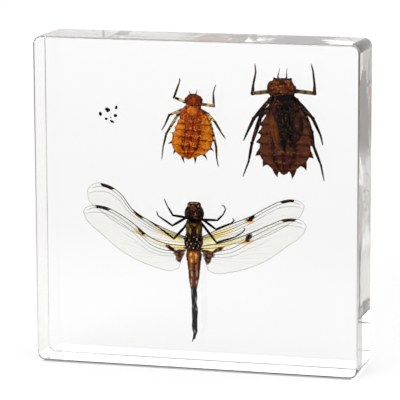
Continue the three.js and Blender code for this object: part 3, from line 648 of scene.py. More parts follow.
FORE_REAR = [[0, -1.4], [4, -2.9], [9, -4.4], [16, -5.7], [23, -5.7], [30, -4.5], [35.2, -3.0]]
HIND_REAR = [
    [-0.2, -1.8], [0.4, -4.6], [0.6, -7.4], [2.6, -9.0], [8, -9.7], [14.7, -9.4], [22, -7.9], [29, -4.9],
    [35.2, -2.0],
]
Wing = namedtuple("Wing", "side hinge sweep y front rear tip mark")
WINGS = {
    "left_forewing": Wing(-1, (2.6, 3.2), 24.2, -1.0, [
        [0, 0.8], [6.4, 0.2], [14, 0.1], [20.4, 1.0], [26.6, 4.1], [31.3, 4.7], [35.4, 3.4], [36.8, 1.5],
    ], FORE_REAR, [37.1, -0.2], (28.9, 34.0)),
    "right_forewing": Wing(1, (2.6, 3.2), 21.1, -1.0, [
        [0, 0.8], [5, 1.3], [12, 1.8], [18.8, 2.0], [25, 3.0], [29.5, 3.5], [34.2, 2.9], [36.6, 1.3],
    ], FORE_REAR, [37.5, -0.4], (30.2, 35.0)),
    "left_hindwing": Wing(-1, (2.6, 0.2), 16.4, -0.45, [
        [0, 0.8], [7.4, -0.8], [12.3, -0.6], [18.8, 1.8], [24.5, 3.5], [31.3, 4.2], [35.5, 2.9], [36.8, 1.5],
    ], HIND_REAR, [37.1, 0.1], (28.3, 33.8)),
    "right_hindwing": Wing(1, (2.6, 0.2), 14.1, -0.45, [
        [0, 0.8], [8.6, 0.6], [14.1, 1.2], [20, 2.2], [25.5, 3.3], [30.5, 4.0], [34.6, 3.1], [36.4, 1.8],
    ], HIND_REAR, [36.9, 0.1], (29.1, 34.0)),
}
# Veins that run along a wing, each as [share of the length, share of the way from front to rear edge] and its
# thickness: those of the stiff front, then those that sweep back to the rear edge.
FRONT_VEINS = [
    ([(0.0, 0.10), (0.25, 0.13), (0.42, 0.10), (0.51, 0.0)], 0.1),
    ([(0.0, 0.20), (0.25, 0.26), (0.5, 0.13), (0.75, 0.10), (0.9, 0.13), (0.97, 0.3)], 0.12),
    ([(0.04, 0.30), (0.25, 0.38), (0.5, 0.26), (0.8, 0.24), (0.92, 0.4), (0.97, 0.7)], 0.075),
    ([(0.0, 0.38), (0.12, 0.44), (0.28, 0.50), (0.44, 0.44), (0.6, 0.46)], 0.055),
]
REAR_VEINS = [
    ([(0.45, 0.32), (0.65, 0.42), (0.84, 0.7), (0.92, 1.0)], 0.016),
    ([(0.33, 0.46), (0.55, 0.56), (0.75, 0.82), (0.83, 1.0)], 0.016),
    ([(0.26, 0.5), (0.48, 0.66), (0.66, 0.9), (0.74, 1.0)], 0.016),
    ([(0.14, 0.46), (0.32, 0.62), (0.54, 0.88), (0.63, 1.0)], 0.018),
    ([(0.02, 0.42), (0.2, 0.6), (0.4, 0.86), (0.5, 1.0)], 0.02),
    ([(0.02, 0.5), (0.14, 0.68), (0.28, 0.92), (0.35, 1.0)], 0.018),
]
FILM_HALF = 0.02
NET_CELL = 0.95


def wing_edges(form):
    """The front and rear edges as smooth curves of [s, t], s never turning back."""
    edges = []
    for knots in (form.front, form.rear):
        edge = flow([*knots, form.tip], 300, reach=2)
        edge[:, 0] = np.maximum.accumulate(edge[:, 0])
        edges.append(edge)
    return edges


def wing_t(form, s, share):
    """t at s, a share of the way from the front edge to the rear edge."""
    front, rear = (np.interp(s, edge[:, 0], edge[:, 1]) for edge in wing_edges(form))
    return front * (1 - share) + rear * share


def set_wing(form, s, t, y):
    """Wing axes turned by the sweep, moved to the hinge and mirrored for the left side."""
    angle = math.radians(form.sweep)
    x = form.hinge[0] + s * math.cos(angle) - t * math.sin(angle)
    z = form.hinge[1] + s * math.sin(angle) + t * math.cos(angle)
    return np.stack([form.side * x, y + 0 * x, z], -1)


def plate(form, s, t_front, t_rear, y, half):
    """A thin plate between two edges. Each row runs back over the front side and returns over the other,
    apart by `half` times the square root of the sine of the way across, so that it closes at both edges."""
    share = np.linspace(0.0, 1.0, 26)
    swell = half * np.sqrt(np.sin(np.pi * share))
    there = t_front[:, None] * (1 - share) + t_rear[:, None] * share
    rows = np.repeat(s[:, None], len(share), axis=1)
    over = set_wing(form, rows, there, y - swell)
    under = set_wing(form, rows, there, y + swell)
    return skin(np.concatenate([over, under[:, -2:0:-1]], axis=1)[None])


def film(form):
    """The film: rows crowd towards the hinge and the tip as (1 - cos) of the way along."""
    way = (1 - np.cos(np.pi * np.linspace(0.0, 1.0, 132))) / 2
    first = min(form.front[0][0], form.rear[0][0])
    s = first + (form.tip[0] - first) * way
    return plate(form, s, wing_t(form, s, 0.0), wing_t(form, s, 1.0), form.y, FILM_HALF)


def vein(form, line, radius, rows=46):
    """A vein along a smooth line of shares, tapering to half its thickness."""
    shares = flow(line, rows, reach=2)
    s = shares[:, 0] * form.tip[0]
    path = set_wing(form, s, wing_t(form, s, np.clip(shares[:, 1], 0, 1)), form.y)
    radii = radius * np.linspace(1.0, 0.5, rows)
    return tubes(path[None], radii[None], radii[None], 6)


def margin(form):
    """The rim: a tube out along the front edge, stout to the middle and fine at the tip, and back along the
    rear."""
    front, rear = wing_edges(form)
    out = np.concatenate([front, rear[::-1][1:]])
    way = np.linspace(0.0, 1.0, len(front))
    stout = np.interp(way, [0.0, 0.5, 0.78, 0.86, 1.0], [0.14, 0.15, 0.12, 0.06, 0.05])
    radii = np.concatenate([stout, np.full(len(rear) - 1, 0.05)])
    keep = np.concatenate([[True], np.linalg.norm(np.diff(out, axis=0), axis=1) > 1e-3])
    path = set_wing(form, out[keep, 0], out[keep, 1], form.y)
    return tubes(path[None, ::3], radii[None, keep][:, ::3], radii[None, keep][:, ::3], 6)


def ladder(form, first, last, count, share_from, share_to):
    """Cross veins like rungs, evenly spaced along the length, each leaning a little towards the tip. Each
    runs from one share of the way across to another."""
    lean = 0.15
    way = np.linspace(first, last, count)
    s = way * form.tip[0]
    upper = wing_t(form, s, share_from(way))
    lower = wing_t(form, s + lean, share_to(way))
    return threads(set_wing(form, s, upper, form.y), set_wing(form, s + lean, lower, form.y), 0.02)


def net(form):
    """The net of small cells. Cell centres lie on a lattice whose odd rows are shifted by half, each pushed
    about by chance. A corner of the net is the mean of three neighbouring centres, and a vein joins the
    corners of each two triangles that share a side. Corners past the wing's own edges are brought back onto
    them."""
    row_gap = NET_CELL * 0.87
    rows, columns = int(18 / row_gap), int(42 / NET_CELL)
    i, j = np.meshgrid(np.arange(columns), np.arange(rows), indexing="ij")
    centre = np.stack([(i + 0.5 * (j % 2)) * NET_CELL - 2.0, j * row_gap - 11.5], -1)
    centre = centre + CHANCE.uniform(-0.2, 0.2, centre.shape) * NET_CELL

    def above(i, j):
        """The corner between a centre, the next in its row and the one above both."""
        return (centre[i, j] + centre[i + 1, j] + centre[i + j % 2, j + 1]) / 3

    def below(i, j):
        """The corner between a centre and the two above it."""
        return (centre[i, j] + centre[i + j % 2, j + 1] + centre[i + j % 2 - 1, j + 1]) / 3

    i, j = np.meshgrid(np.arange(1, columns - 3), np.arange(1, rows - 2), indexing="ij")
    starts = np.concatenate([above(i, j), below(i, j), above(i, j)]).reshape(-1, 2)
    ends = np.concatenate([below(i, j), above(i - 1, j), below(i + j % 2, j - 1)]).reshape(-1, 2)
    s = np.stack([starts[:, 0], ends[:, 0]])
    t = np.stack([starts[:, 1], ends[:, 1]])
    third = flow(FRONT_VEINS[2][0], 80, reach=2)
    top = wing_t(form, s, np.interp(s / form.tip[0], third[:, 0], third[:, 1]))
    low = wing_t(form, s, 1.0)
    first = min(form.front[0][0], form.rear[0][0])
    inside = (t > low) & (t < top) & (s > first) & (s < form.tip[0] - 0.1)
    keep = inside.any(axis=0) & (s > first).all(axis=0) & (s < form.tip[0]).all(axis=0)
    start, end = set_wing(form, s, np.clip(t, low, top), form.y)[:, keep]
    return threads(start, end, 0.014)


def constant(value):
    """The same share all along a wing."""
    return lambda way: np.full_like(way, value)


def along_vein(line):
    """The share at which a vein's smooth line lies, from the way along the wing."""
    shares = flow(line, 80, reach=2)
    return lambda way: np.interp(way, shares[:, 0], shares[:, 1])


# [x, z], half sizes, turn and softness of each patch on the film: pale yellow, amber and dark brown.
YELLOWS = {
    "left_forewing": [((-6.4, 4.0), (6.2, 1.6), -25, 0.9)],
    "right_forewing": [((7.0, 4.6), (7.0, 1.5), 24, 0.7)],
    "left_hindwing": [((-5.2, 0.7), (3.8, 1.2), -12, 0.3), ((-9.5, 1.6), (6.5, 1.2), -20, 0.7)],
    "right_hindwing": [((5.8, 0.9), (4.0, 1.2), 12, 0.3), ((10.0, 2.2), (6.5, 1.2), 18, 0.7)],
}
AMBERS = {
    "left_forewing": [((-19.4, 11.0), (0.5, 1.3), 44, 0.6)],
    "right_forewing": [((19.2, 10.2), (1.5, 0.7), 10, 0.6)],
    "left_hindwing": [((-18.5, 4.5), (1.9, 0.55), -28, 0.6)],
    "right_hindwing": [((18.2, 3.3), (2.0, 0.7), 10, 0.6)],
}
BROWNS = {
    "left_forewing": [((-19.1, 11.1), (0.6, 2.3), 48, 0.25)],
    "right_forewing": [((19.9, 11.6), (0.7, 1.4), -42, 0.25), ((19.2, 10.7), (1.1, 0.45), 0, 0.25)],
    "left_hindwing": [
        ((-17.9, 5.3), (0.6, 1.7), 54, 0.25), ((-17.2, 4.3), (0.8, 0.3), 0, 0.25),
        ((-7.7, -0.25), (2.3, 0.6), -33, 0.2), ((-4.4, -0.8), (2.4, 0.45), 8, 0.2),
        ((-5.0, -1.8), (1.85, 1.05), 0, 0.2), ((-5.0, -3.3), (1.2, 1.35), 20, 0.2),
    ],
    "right_hindwing": [
        ((18.9, 4.9), (0.8, 1.4), -48, 0.25), ((18.4, 3.8), (0.9, 0.5), 0, 0.25),
        ((8.4, 0.1), (2.3, 0.6), 27, 0.2), ((4.8, -0.7), (2.4, 0.48), -6, 0.2),
        ((5.2, -1.7), (2.0, 1.1), 0, 0.2), ((4.8, -3.3), (1.2, 1.6), -14, 0.2),
    ],
}
for name, form in WINGS.items():
    film_colours = film_finish(name + "_film", YELLOWS[name], AMBERS[name], BROWNS[name])
    adult_piece(name + "_film", film(form), film_colours)
    lines = [vein(form, *one) for one in FRONT_VEINS]
    rear_lines = [vein(form, *one) for one in REAR_VEINS]
    rungs = [
        ladder(form, 0.04, 0.48, 15, constant(0.0), along_vein(FRONT_VEINS[1][0])),
        ladder(form, 0.53, 0.76, 9, constant(0.0), along_vein(FRONT_VEINS[1][0])),
        ladder(form, 0.1, 0.93, 34, along_vein(FRONT_VEINS[1][0]), along_vein(FRONT_VEINS[2][0])),
    ]
    adult_piece(name + "_veins", together(margin(form), *lines, *rungs), vein_shell)
    adult_piece(name + "_net", together(net(form), *rear_lines), fine_vein_shell)


def front_mark(form):
    """The dark mark near a wing's tip: a plate along the front edge whose hind edge stands back by 1 - w^6,
    as w goes from -1 to 1 along it."""
    steps = 24
    s = np.linspace(*form.mark, steps)
    w = np.linspace(-1, 1, steps)
    front = wing_t(form, s, 0.0)
    return plate(form, s, front + 0.08, front - 0.1 - 0.85 * (1 - w ** 6), form.y, 0.13)


def wing_root(form):
    """A wing's stout root: a straight tube that thins as it comes up out of the thorax into the wing's
    plane."""
    way = np.linspace(0.0, 1.0, 14)
    path = set_wing(form, 2.1 * way - 1.2, 0.2 * way - 0.2, form.y + 0.5 * (1 - way))
    thick = 0.5 - 0.34 * way
    return tubes(path[None], thick[None], thick[None] * 0.7, 12)


adult_piece("wing_marks", together(*map(front_mark, WINGS.values())), stigma_shell)
adult_piece("wing_roots", together(*map(wing_root, WINGS.values())), dark_leg)


def hinge_plates():
    """Small pale plates between the wings, standing half out of the thorax's ellipse at their height."""
    x = np.array([-2.1, -1.2, 0.5, 1.5, 2.1, -1.8, -0.5, 1.0, 1.9, -1.1, 0.2, 1.4, -1.9])
    z = np.array([4.2, 3.2, 4.3, 3.6, 2.7, 2.4, 2.1, 2.2, 1.5, 0.9, 0.6, 0.5, 1.5])
    ring = np.array(ADULT_BODY[::-1])
    middle_x, middle_y, half_x, half_y = (np.interp(z, ring[:, 2], ring[:, k]) for k in (0, 1, 3, 4))
    y = middle_y - half_y * np.sqrt(np.clip(1 - ((x - middle_x) / half_x) ** 2, 0.05, 1))
    size = np.array([0.17, 0.14, 0.36]) * CHANCE.uniform(0.45, 1.4, (len(x), 3))
    return knobs(np.stack([x, y - 0.06, z], -1), size, CHANCE.uniform(-60, 60, len(x)), 10, 12, 0.1)


adult_piece("wing_hinge_plates", hinge_plates(), hinge_shell)


# ---- Nymphs ----

BACK_ROWS = 257
BACK_COLUMNS = 49


def scalloped(notches, side):
    """A margin through the notches between segments that stands out by a twelfth of each segment's length at
    its middle, as rows whose notches fall at even steps."""
    notches = np.asarray(notches, float)
    run = np.diff(notches, axis=0)
    out = np.stack([run[:, 1], -run[:, 0]], -1) * side / -12.0
    line = np.empty((2 * len(notches) - 1, 2))
    line[::2] = notches
    line[1::2] = (notches[:-1] + notches[1:]) / 2 + out
    station = stations(line, 2)
    share = np.linspace(0.0, len(line) - 1, BACK_ROWS)
    return curve_through(line, station, np.interp(share, np.arange(len(line)), station))


def nymph_back(left, right, depths, middle_y):
    """A nymph's abdomen. Each row runs from the left margin over the back to the right margin and returns
    beneath. With w from -1 to 1 across, it is bowed towards the head by 0.7 (1 - w squared) and its height
    over the middle plane is the depth there times the square root of 1 - w squared, a little more towards
    each segment's hind rim, and three quarters of that beneath. Two marks go with the points: the segment,
    and w."""
    segments = len(left) - 1
    left, right = scalloped(left, -1), scalloped(right, 1)
    w = np.sin(np.linspace(-0.5 * np.pi, 0.5 * np.pi, BACK_COLUMNS))[None, :]
    x = left[:, :1] * (1 - w) / 2 + right[:, :1] * (1 + w) / 2
    taper = np.linspace(1.0, 0.0, BACK_ROWS)[:, None] ** 0.5
    z = left[:, 1:] * (1 - w) / 2 + right[:, 1:] * (1 + w) / 2 + 0.7 * taper * (1 - w ** 2)
    depths = np.asarray(depths, float)[::-1]
    segment = np.linspace(0.0, segments, BACK_ROWS)[:, None]
    height = np.interp(z, depths[:, 0], depths[:, 1]) * np.sqrt(1 - w ** 2) * (1 + 0.08 * (segment % 1) ** 2)
    over = np.stack([x, middle_y - height, z], -1)
    under = np.stack([x, middle_y + 0.75 * height, z], -1)[:, -2:0:-1]
    there = np.broadcast_to(w, x.shape)
    around = np.concatenate([there, there[:, -2:0:-1]], axis=1)
    counted = np.broadcast_to(segment, around.shape)
    marks = {
        "segment": np.append(counted.ravel(), [counted[0, 0], counted[-1, 0]]),
        "across": np.append(around.ravel(), [0.0, 0.0]),
    }
    return skin(np.concatenate([over, under], axis=1)[None]), marks


def spines(fronts, rears, tips, middle, radius, middle_y):
    """Flattened spines at the hind corners of segments: each starts three tenths of the way from the rear
    notch to the front one and a little inside the margin, runs a tenth past its tip, bends outward by a
    sine, and thins as (1 - 0.9 share)^1.35."""
    fronts, rears, tips = (np.asarray(each, float) for each in (fronts, rears, tips))
    base = rears * 0.7 + fronts * 0.3
    base = base + (np.asarray(middle) - base) * 0.08
    share = np.linspace(0.0, 1.0, 12)[None, :, None]
    run = (tips - base) * 1.1
    flat = base[:, None] + run[:, None] * share
    side = np.sign(base[:, :1] - middle[0])
    bend = np.stack([-run[:, 1], run[:, 0]], -1) * side * 0.08
    flat = flat + bend[:, None] * np.sin(np.pi * share)
    paths = np.stack([flat[..., 0], np.full(flat.shape[:2], middle_y), flat[..., 1]], -1)
    radii = radius * np.broadcast_to((1 - 0.9 * share[..., 0]) ** 1.35, flat.shape[:2])
    return tubes(paths, radii, radii * 0.5, 12)


# The notches between an abdomen's segments down either side and the tips of its spines are [x, z]. Depths
# are [z, half depth], bodies and heads are rings of [x, y, z, half width, half depth], legs have [x, z,
# radius] and pads, the wing cases, have [x, z, half width].
LARGE_LEFT = [
    [-4.9, -4.4], [-5.5, -6.6], [-6.8, -10.0], [-7.2, -12.9], [-7.5, -16.2], [-7.3, -20.2], [-4.8, -23.0],
    [-1.0, -25.0], [0.6, -26.1],
]
LARGE_RIGHT = [
    [6.2, -4.2], [7.5, -6.8], [9.0, -10.2], [9.5, -12.8], [9.5, -16.2], [8.9, -20.2], [6.3, -22.9],
    [2.3, -24.9], [0.6, -26.1],
]
LARGE_LEFT_TIPS = [[-7.5, -9.9], [-8.1, -12.5], [-8.6, -15.6], [-8.8, -20.0], [-6.3, -23.4], [-1.6, -26.6]]
LARGE_RIGHT_TIPS = [[9.4, -9.6], [10.1, -12.2], [10.3, -16.0], [10.3, -20.1], [7.9, -24.0], [3.3, -26.9]]
LARGE_DEPTHS = [
    [-3.0, 2.3], [-6.6, 2.5], [-12.5, 2.5], [-19.4, 2.0], [-22.6, 1.5], [-24.6, 1.0], [-26.3, 0.5],
]
LARGE_BODY = [
    [0.1, 0.1, 0.9, 4.2, 1.8], [0.2, 0.1, -0.1, 3.9, 1.6], [0.3, 0.1, -1.2, 4.5, 2.0],
    [0.4, 0.1, -3.0, 4.9, 2.3], [0.5, 0.1, -4.4, 5.4, 2.2], [0.6, 0.1, -6.6, 5.8, 2.2],
    [0.8, 0.2, -8.0, 5.0, 1.4],
]
LARGE_HEAD = [
    [0.15, 0.0, 5.95, 2.0, 0.6], [0.15, 0.0, 5.5, 2.8, 1.2], [0.1, 0.0, 4.6, 3.7, 1.7],
    [-0.1, 0.0, 3.4, 4.7, 2.0], [-0.2, 0.0, 2.5, 4.9, 2.0], [-0.1, 0.0, 1.4, 4.4, 1.9],
    [0.1, 0.1, 0.6, 3.7, 1.7], [0.2, 0.1, -0.2, 3.5, 1.5],
]
LARGE_LEGS = [
    [[-2.5, 1.0, 0.5], [-5.0, 1.2, 0.55], [-10.1, 0.5, 0.52], [-9.9, 3.2, 0.32], [-9.0, 7.5, 0.24],
     [-9.3, 10.3, 0.12]],
    [[2.5, 1.2, 0.5], [4.7, 1.7, 0.55], [10.6, 1.2, 0.52], [10.6, 4.0, 0.32], [10.1, 8.6, 0.24],
     [9.5, 10.8, 0.12]],
    [[-2.5, 0.2, 0.55], [-4.3, -1.4, 0.6], [-9.7, -7.8, 0.5], [-12.1, -12.9, 0.3], [-13.1, -15.3, 0.14]],
    [[2.5, 0.2, 0.55], [4.6, -1.3, 0.6], [10.1, -7.1, 0.5], [12.7, -12.5, 0.3], [13.5, -15.7, 0.14]],
    [[-3.0, -2.8, 0.6], [-7.3, -6.8, 0.65], [-10.3, -16.0, 0.45], [-11.4, -22.1, 0.3], [-13.3, -27.2, 0.13]],
    [[3.5, -1.8, 0.6], [6.9, -4.6, 0.65], [9.6, -11.6, 0.6], [10.3, -16.0, 0.45], [12.9, -22.4, 0.3],
     [14.0, -27.6, 0.13]],
]
LARGE_LEG_DEPTHS = (1.4, 0.9)
LARGE_PADS = [
    [[-3.1, -5.4, 0.6], [-3.1, -7.4, 1.0], [-2.4, -11.0, 1.05], [-1.7, -14.6, 0.8], [-1.2, -17.4, 0.3]],
    [[3.6, -3.6, 1.5], [4.6, -6.6, 2.3], [4.9, -10.8, 2.3], [4.0, -14.2, 1.5], [3.0, -16.4, 0.4]],
    [[-0.9, -3.2, 1.0], [-1.0, -6.6, 1.3], [-0.3, -11.5, 1.2], [0.4, -16.4, 0.4]],
    [[1.4, -3.2, 1.1], [1.9, -6.6, 1.5], [1.6, -11.5, 1.4], [1.0, -17.0, 0.5]],
]
SMALL_LEFT = [
    [-4.0, -2.8], [-4.8, -4.2], [-5.8, -6.2], [-6.5, -8.2], [-7.4, -10.4], [-7.5, -13.3], [-6.0, -15.8],
    [-3.4, -17.2], [-2.0, -17.9],
]
SMALL_RIGHT = [
    [4.3, -2.9], [4.9, -4.2], [5.7, -6.6], [6.3, -9.3], [6.2, -12.1], [5.0, -14.7], [2.1, -16.4],
    [-0.6, -17.2], [-2.0, -17.9],
]
SMALL_LEFT_TIPS = [[-5.6, -4.9], [-6.8, -7.1], [-7.9, -9.1], [-8.7, -12.9], [-7.0, -16.3], [-3.3, -19.0]]
SMALL_RIGHT_TIPS = [[6.0, -5.9], [6.8, -8.8], [6.9, -11.6], [6.6, -14.8], [4.3, -17.7], [0.2, -19.1]]
SMALL_DEPTHS = [[-2.4, 1.7], [-5.2, 1.9], [-8.0, 1.9], [-11.0, 1.8], [-13.6, 1.5], [-15.8, 1.0], [-17.8, 0.4]]
SMALL_BODY = [
    [0.0, 0.0, 0.9, 2.8, 1.4], [0.0, 0.0, 0.0, 2.5, 1.2], [-0.2, 0.0, -1.0, 3.3, 1.6],
    [-0.4, 0.0, -3.0, 4.4, 1.8], [-0.3, 0.1, -4.6, 4.2, 1.6], [-0.4, 0.1, -5.6, 3.0, 1.1],
]
SMALL_HEAD = [
    [-0.15, 0.0, 4.1, 1.0, 0.5], [-0.15, 0.0, 3.5, 2.0, 1.0], [0.0, 0.0, 2.2, 2.8, 1.4],
    [0.0, 0.0, 1.0, 2.9, 1.5], [0.0, 0.0, 0.1, 2.5, 1.2], [-0.1, 0.0, -0.4, 2.3, 1.1],
]
SMALL_LEGS = [
    [[-1.8, 0.9, 0.34], [-3.6, 1.3, 0.36], [-6.9, 2.6, 0.3], [-4.9, 8.1, 0.17], [-4.9, 9.1, 0.09]],
    [[1.8, 0.6, 0.34], [2.9, 0.6, 0.36], [6.6, 0.2, 0.32], [6.5, 4.6, 0.17], [7.3, 7.1, 0.09]],
    [[-2.0, -0.8, 0.34], [-4.7, -1.6, 0.34], [-8.6, -3.4, 0.28], [-10.0, -6.6, 0.18], [-11.2, -8.6, 0.09]],
    [[1.5, -1.0, 0.36], [4.6, -2.6, 0.36], [7.1, -5.2, 0.3], [9.3, -8.8, 0.2], [10.6, -10.5, 0.1]],
    [[-3.0, -1.8, 0.36], [-5.7, -3.3, 0.36], [-9.6, -9.6, 0.28], [-10.7, -14.0, 0.18], [-11.2, -18.4, 0.09]],
    [[3.0, -2.6, 0.36], [5.2, -4.6, 0.36], [7.4, -13.4, 0.3], [7.6, -17.2, 0.18], [8.2, -20.1, 0.09]],
]
SMALL_LEG_DEPTHS = (1.2, 0.8)
SMALL_PADS = [
    [[-1.9, -2.4, 0.9], [-2.1, -4.6, 1.0], [-1.8, -7.2, 0.3]],
    [[1.7, -2.4, 0.9], [1.9, -4.6, 1.0], [1.5, -7.2, 0.3]],
]


def wing_cases(pads, y, depth):
    """Flat leaf-shaped cases on the back: each is a tube through its [x, z, half width] knots, `depth`
    thick at most, with ten low ridges round it, as the cosine of ten times the turn."""
    rows, sides = 60, 40
    turn = np.linspace(0.0, 2 * np.pi, sides, endpoint=False)
    ridges = (1 + 0.03 * np.cos(10 * turn))[None, None, :] * np.ones((1, rows, 1))
    made = []
    for knots in pads:
        knots = np.asarray(knots, float)
        thick = depth * np.minimum(1.0, knots[:, 2])
        rings = np.stack([knots[:, 0], np.full(len(knots), y), knots[:, 1], knots[:, 2], thick], -1)
        made.append(body(rings, rows, sides, ridges))
    return together(*made)


large_back = back_shell("large_nymph_back", (98, 53, 35), (79, 40, 32), (22, 8, 6), (126, 78, 50), 0.42)
large_shell = shell(
    "large_nymph_shell", LARGE_NYMPH_PLACE, (37, 17, 12),
    patches=[
        ((12, 6, 5), 0.95, [((0.4, -0.4), (5.0, 1.1)), ((1.4, -4.6), (2.6, 3.4))]),
        ((80, 40, 32), 0.7, [((-2.8, -4.4), (1.2, 2.2)), ((-0.9, -2.4), (1.6, 0.3))]),
    ],
    speckle=((96, 52, 38), 1300.0, 0.6), mottle=0.45,
)
large_pad_shell = shell(
    "large_nymph_wing_case", LARGE_NYMPH_PLACE, (36, 18, 13),
    patches=[
        ((12, 14, 10), 1.0, [((1.5, -9.4), (2.4, 8.4), 2)]),
        ((80, 43, 31), 0.7, [
            ((5.4, -8.6), (0.8, 2.0), 12), ((5.0, -12.8), (0.9, 0.8)), ((6.0, -5.8), (0.6, 0.9)),
        ]),
        ((124, 64, 26), 0.97, [((-2.3, -11.7), (1.3, 6.0), 11)]),
        ((70, 36, 18), 0.8, [((-2.2, -12.0), (0.2, 4.6), 11)]),
    ],
    speckle=((84, 50, 38), 1500.0, 0.59), mottle=0.45,
)
large_head_shell = shell(
    "large_nymph_head", LARGE_NYMPH_PLACE, (96, 42, 12),
    patches=[
        ((54, 20, 8), 0.85, [
            ((-2.6, 2.2), (1.3, 0.4), 20), ((2.8, 2.2), (1.3, 0.4), -20), ((0.2, 4.2), (1.6, 0.35)),
            ((0.0, 1.2), (0.5, 0.9)),
        ]),
        ((30, 16, 11), 0.95, [
            ((0.0, 0.2), (4.8, 1.1)), ((0.1, 5.8), (2.4, 0.3)), ((-4.7, 3.0), (0.5, 1.6)),
            ((4.7, 3.0), (0.5, 1.6)),
        ]),
    ],
    speckle=((206, 140, 80), 2300.0, 0.61), mottle=0.6,
)
large_horn_shell = shell("large_nymph_horn", LARGE_NYMPH_PLACE, (44, 22, 14), mottle=0.3)
large_leg_shell = shell(
    "large_nymph_legs", LARGE_NYMPH_PLACE, (30, 16, 12),
    patches=[
        ((146, 116, 58), 0.9, [((-7.5, 0.8), (2.3, 0.9)), ((7.7, 1.4), (2.3, 0.9))]),
        ((56, 38, 22), 0.9, [
            ((-7.2, 0.9), (0.35, 1.0)), ((7.4, 1.5), (0.35, 1.0)), ((-5.4, 1.0), (0.3, 1.0)),
        ]),
    ],
    speckle=((104, 76, 50), 1300.0, 0.585), mottle=0.45,
)
small_back = back_shell("small_nymph_back", (240, 138, 24), (176, 62, 12), (66, 17, 3), (238, 150, 64), 0.36)
small_shell = shell(
    "small_nymph_shell", SMALL_NYMPH_PLACE, (172, 64, 15),
    patches=[
        ((240, 122, 28), 0.9, [
            ((-0.4, -1.6), (1.7, 1.3)), ((-2.6, -3.4), (0.9, 0.5)), ((2.2, -3.4), (0.9, 0.5)),
        ]),
        ((80, 30, 12), 0.85, [
            ((-0.4, -4.4), (3.2, 0.5)), ((-2.2, -0.6), (0.5, 0.9)), ((2.1, -0.6), (0.5, 0.9)),
        ]),
    ],
    speckle=((232, 140, 60), 1700.0, 0.59), mottle=0.45,
)
small_pad_shell = shell(
    "small_nymph_wing_case", SMALL_NYMPH_PLACE, (160, 60, 14),
    speckle=((220, 126, 52), 1600.0, 0.59), mottle=0.45,
)
small_head_shell = shell(
    "small_nymph_head", SMALL_NYMPH_PLACE, (126, 42, 9),
    patches=[
        ((46, 20, 12), 0.95, [
            ((-2.75, 1.9), (0.55, 1.3)), ((2.75, 1.9), (0.55, 1.3)), ((0.0, 3.95), (1.6, 0.3)),
            ((0.0, 0.2), (2.4, 0.3)),
        ]),
        ((160, 62, 16), 0.8, [((-0.1, 2.1), (0.9, 0.9))]),
    ],
    speckle=((196, 100, 46), 1900.0, 0.6), mottle=0.5,
)
small_leg_shell = shell(
    "small_nymph_legs", SMALL_NYMPH_PLACE, (92, 62, 32),
    patches=[
        ((228, 196, 128), 0.95, [
            ((-4.9, 1.9), (1.9, 0.9), -20), ((4.6, 0.5), (1.9, 0.8)), ((-6.4, -2.3), (1.9, 0.8), 20),
            ((5.4, -3.6), (1.6, 0.8), -40), ((-7.4, -6.0), (1.1, 2.6), -35), ((6.4, -8.0), (1.0, 3.4), 10),
        ]),
    ],
    speckle=((48, 30, 18), 950.0, 0.53), mottle=0.4,
)
hair_shell = shell("nymph_hair", LARGE_NYMPH_PLACE, (70, 46, 30), mottle=0.2, relief=0.05)
small_spine_shell = shell(
    "small_nymph_spines", SMALL_NYMPH_PLACE, (70, 40, 20),
    patches=[((206, 120, 36), 0.9, [((-0.8, -9.6), (6.7, 7.4), 0, 0.12)])], mottle=0.3,
)
large_spine_shell = shell("large_nymph_spines", LARGE_NYMPH_PLACE, (66, 33, 20), mottle=0.4)


def large_piece(name, solid, finish, *nodes, marks=()):
    """A piece of the large nymph."""
    return piece("large_nymph_" + name, solid, LARGE_NYMPH_PLACE, finish, "brown_shell", *nodes, marks=marks)


def small_piece(name, solid, finish, *nodes, marks=()):
    """A piece of the small nymph."""
    return piece("small_nymph_" + name, solid, SMALL_NYMPH_PLACE, finish, "amber_shell", *nodes, marks=marks)


def head_lumps(count, half_x, half_y, middle, size):
    """Low rounded lumps over the top of the head. Each stands just inside an ellipse of the half sizes at a
    random turn, and the ellipse narrows as its height over the middle grows."""
    angle = CHANCE.uniform(0.15, np.pi - 0.15, count)
    lift = CHANCE.uniform(-0.6, 1.0, count)
    x = middle[0] + half_x * np.cos(angle) * np.sqrt(1 - (lift * 0.6) ** 2)
    z = middle[1] + 1.5 * lift
    y = -half_y * np.sin(angle) * 0.96
    return knobs(np.stack([x, y, z], -1), np.full((count, 3), size), np.zeros(count), 8, 10, 0.1)


def nymph_spines(left, right, left_tips, right_tips, middle, radius, middle_y):
    """The spines of both sides: one between each two notches, from the second segment on."""
    return together(
        spines(left[1:-2], left[2:-1], left_tips, middle, radius, middle_y),
        spines(right[1:-2], right[2:-1], right_tips, middle, radius, middle_y),
    )


solid, marks = nymph_back(LARGE_LEFT, LARGE_RIGHT, LARGE_DEPTHS, 0.35)
large_piece("abdomen", solid, large_back, "large_nymph", marks=marks)
large_spines = nymph_spines(
    LARGE_LEFT, LARGE_RIGHT, LARGE_LEFT_TIPS, LARGE_RIGHT_TIPS,
    middle=(1.0, -15.0), radius=1.85, middle_y=0.4,
)
large_piece("spines", large_spines, large_spine_shell)
large_piece("thorax", body(LARGE_BODY, 90, 48), large_shell)
large_piece("wing_cases", wing_cases(LARGE_PADS, -1.9, 0.85), large_pad_shell)
large_head = together(body(LARGE_HEAD, 80, 52), head_lumps(46, 3.9, 1.9, (0.0, 3.4), 0.26))
large_piece("head", large_head, large_head_shell)
large_eyes = knobs([[-3.95, 0.2, 2.5], [3.6, 0.2, 2.5]], [[0.95, 1.3, 1.3]] * 2, [30, -30], 24, 28)
large_piece("eyes", large_eyes, large_head_shell)
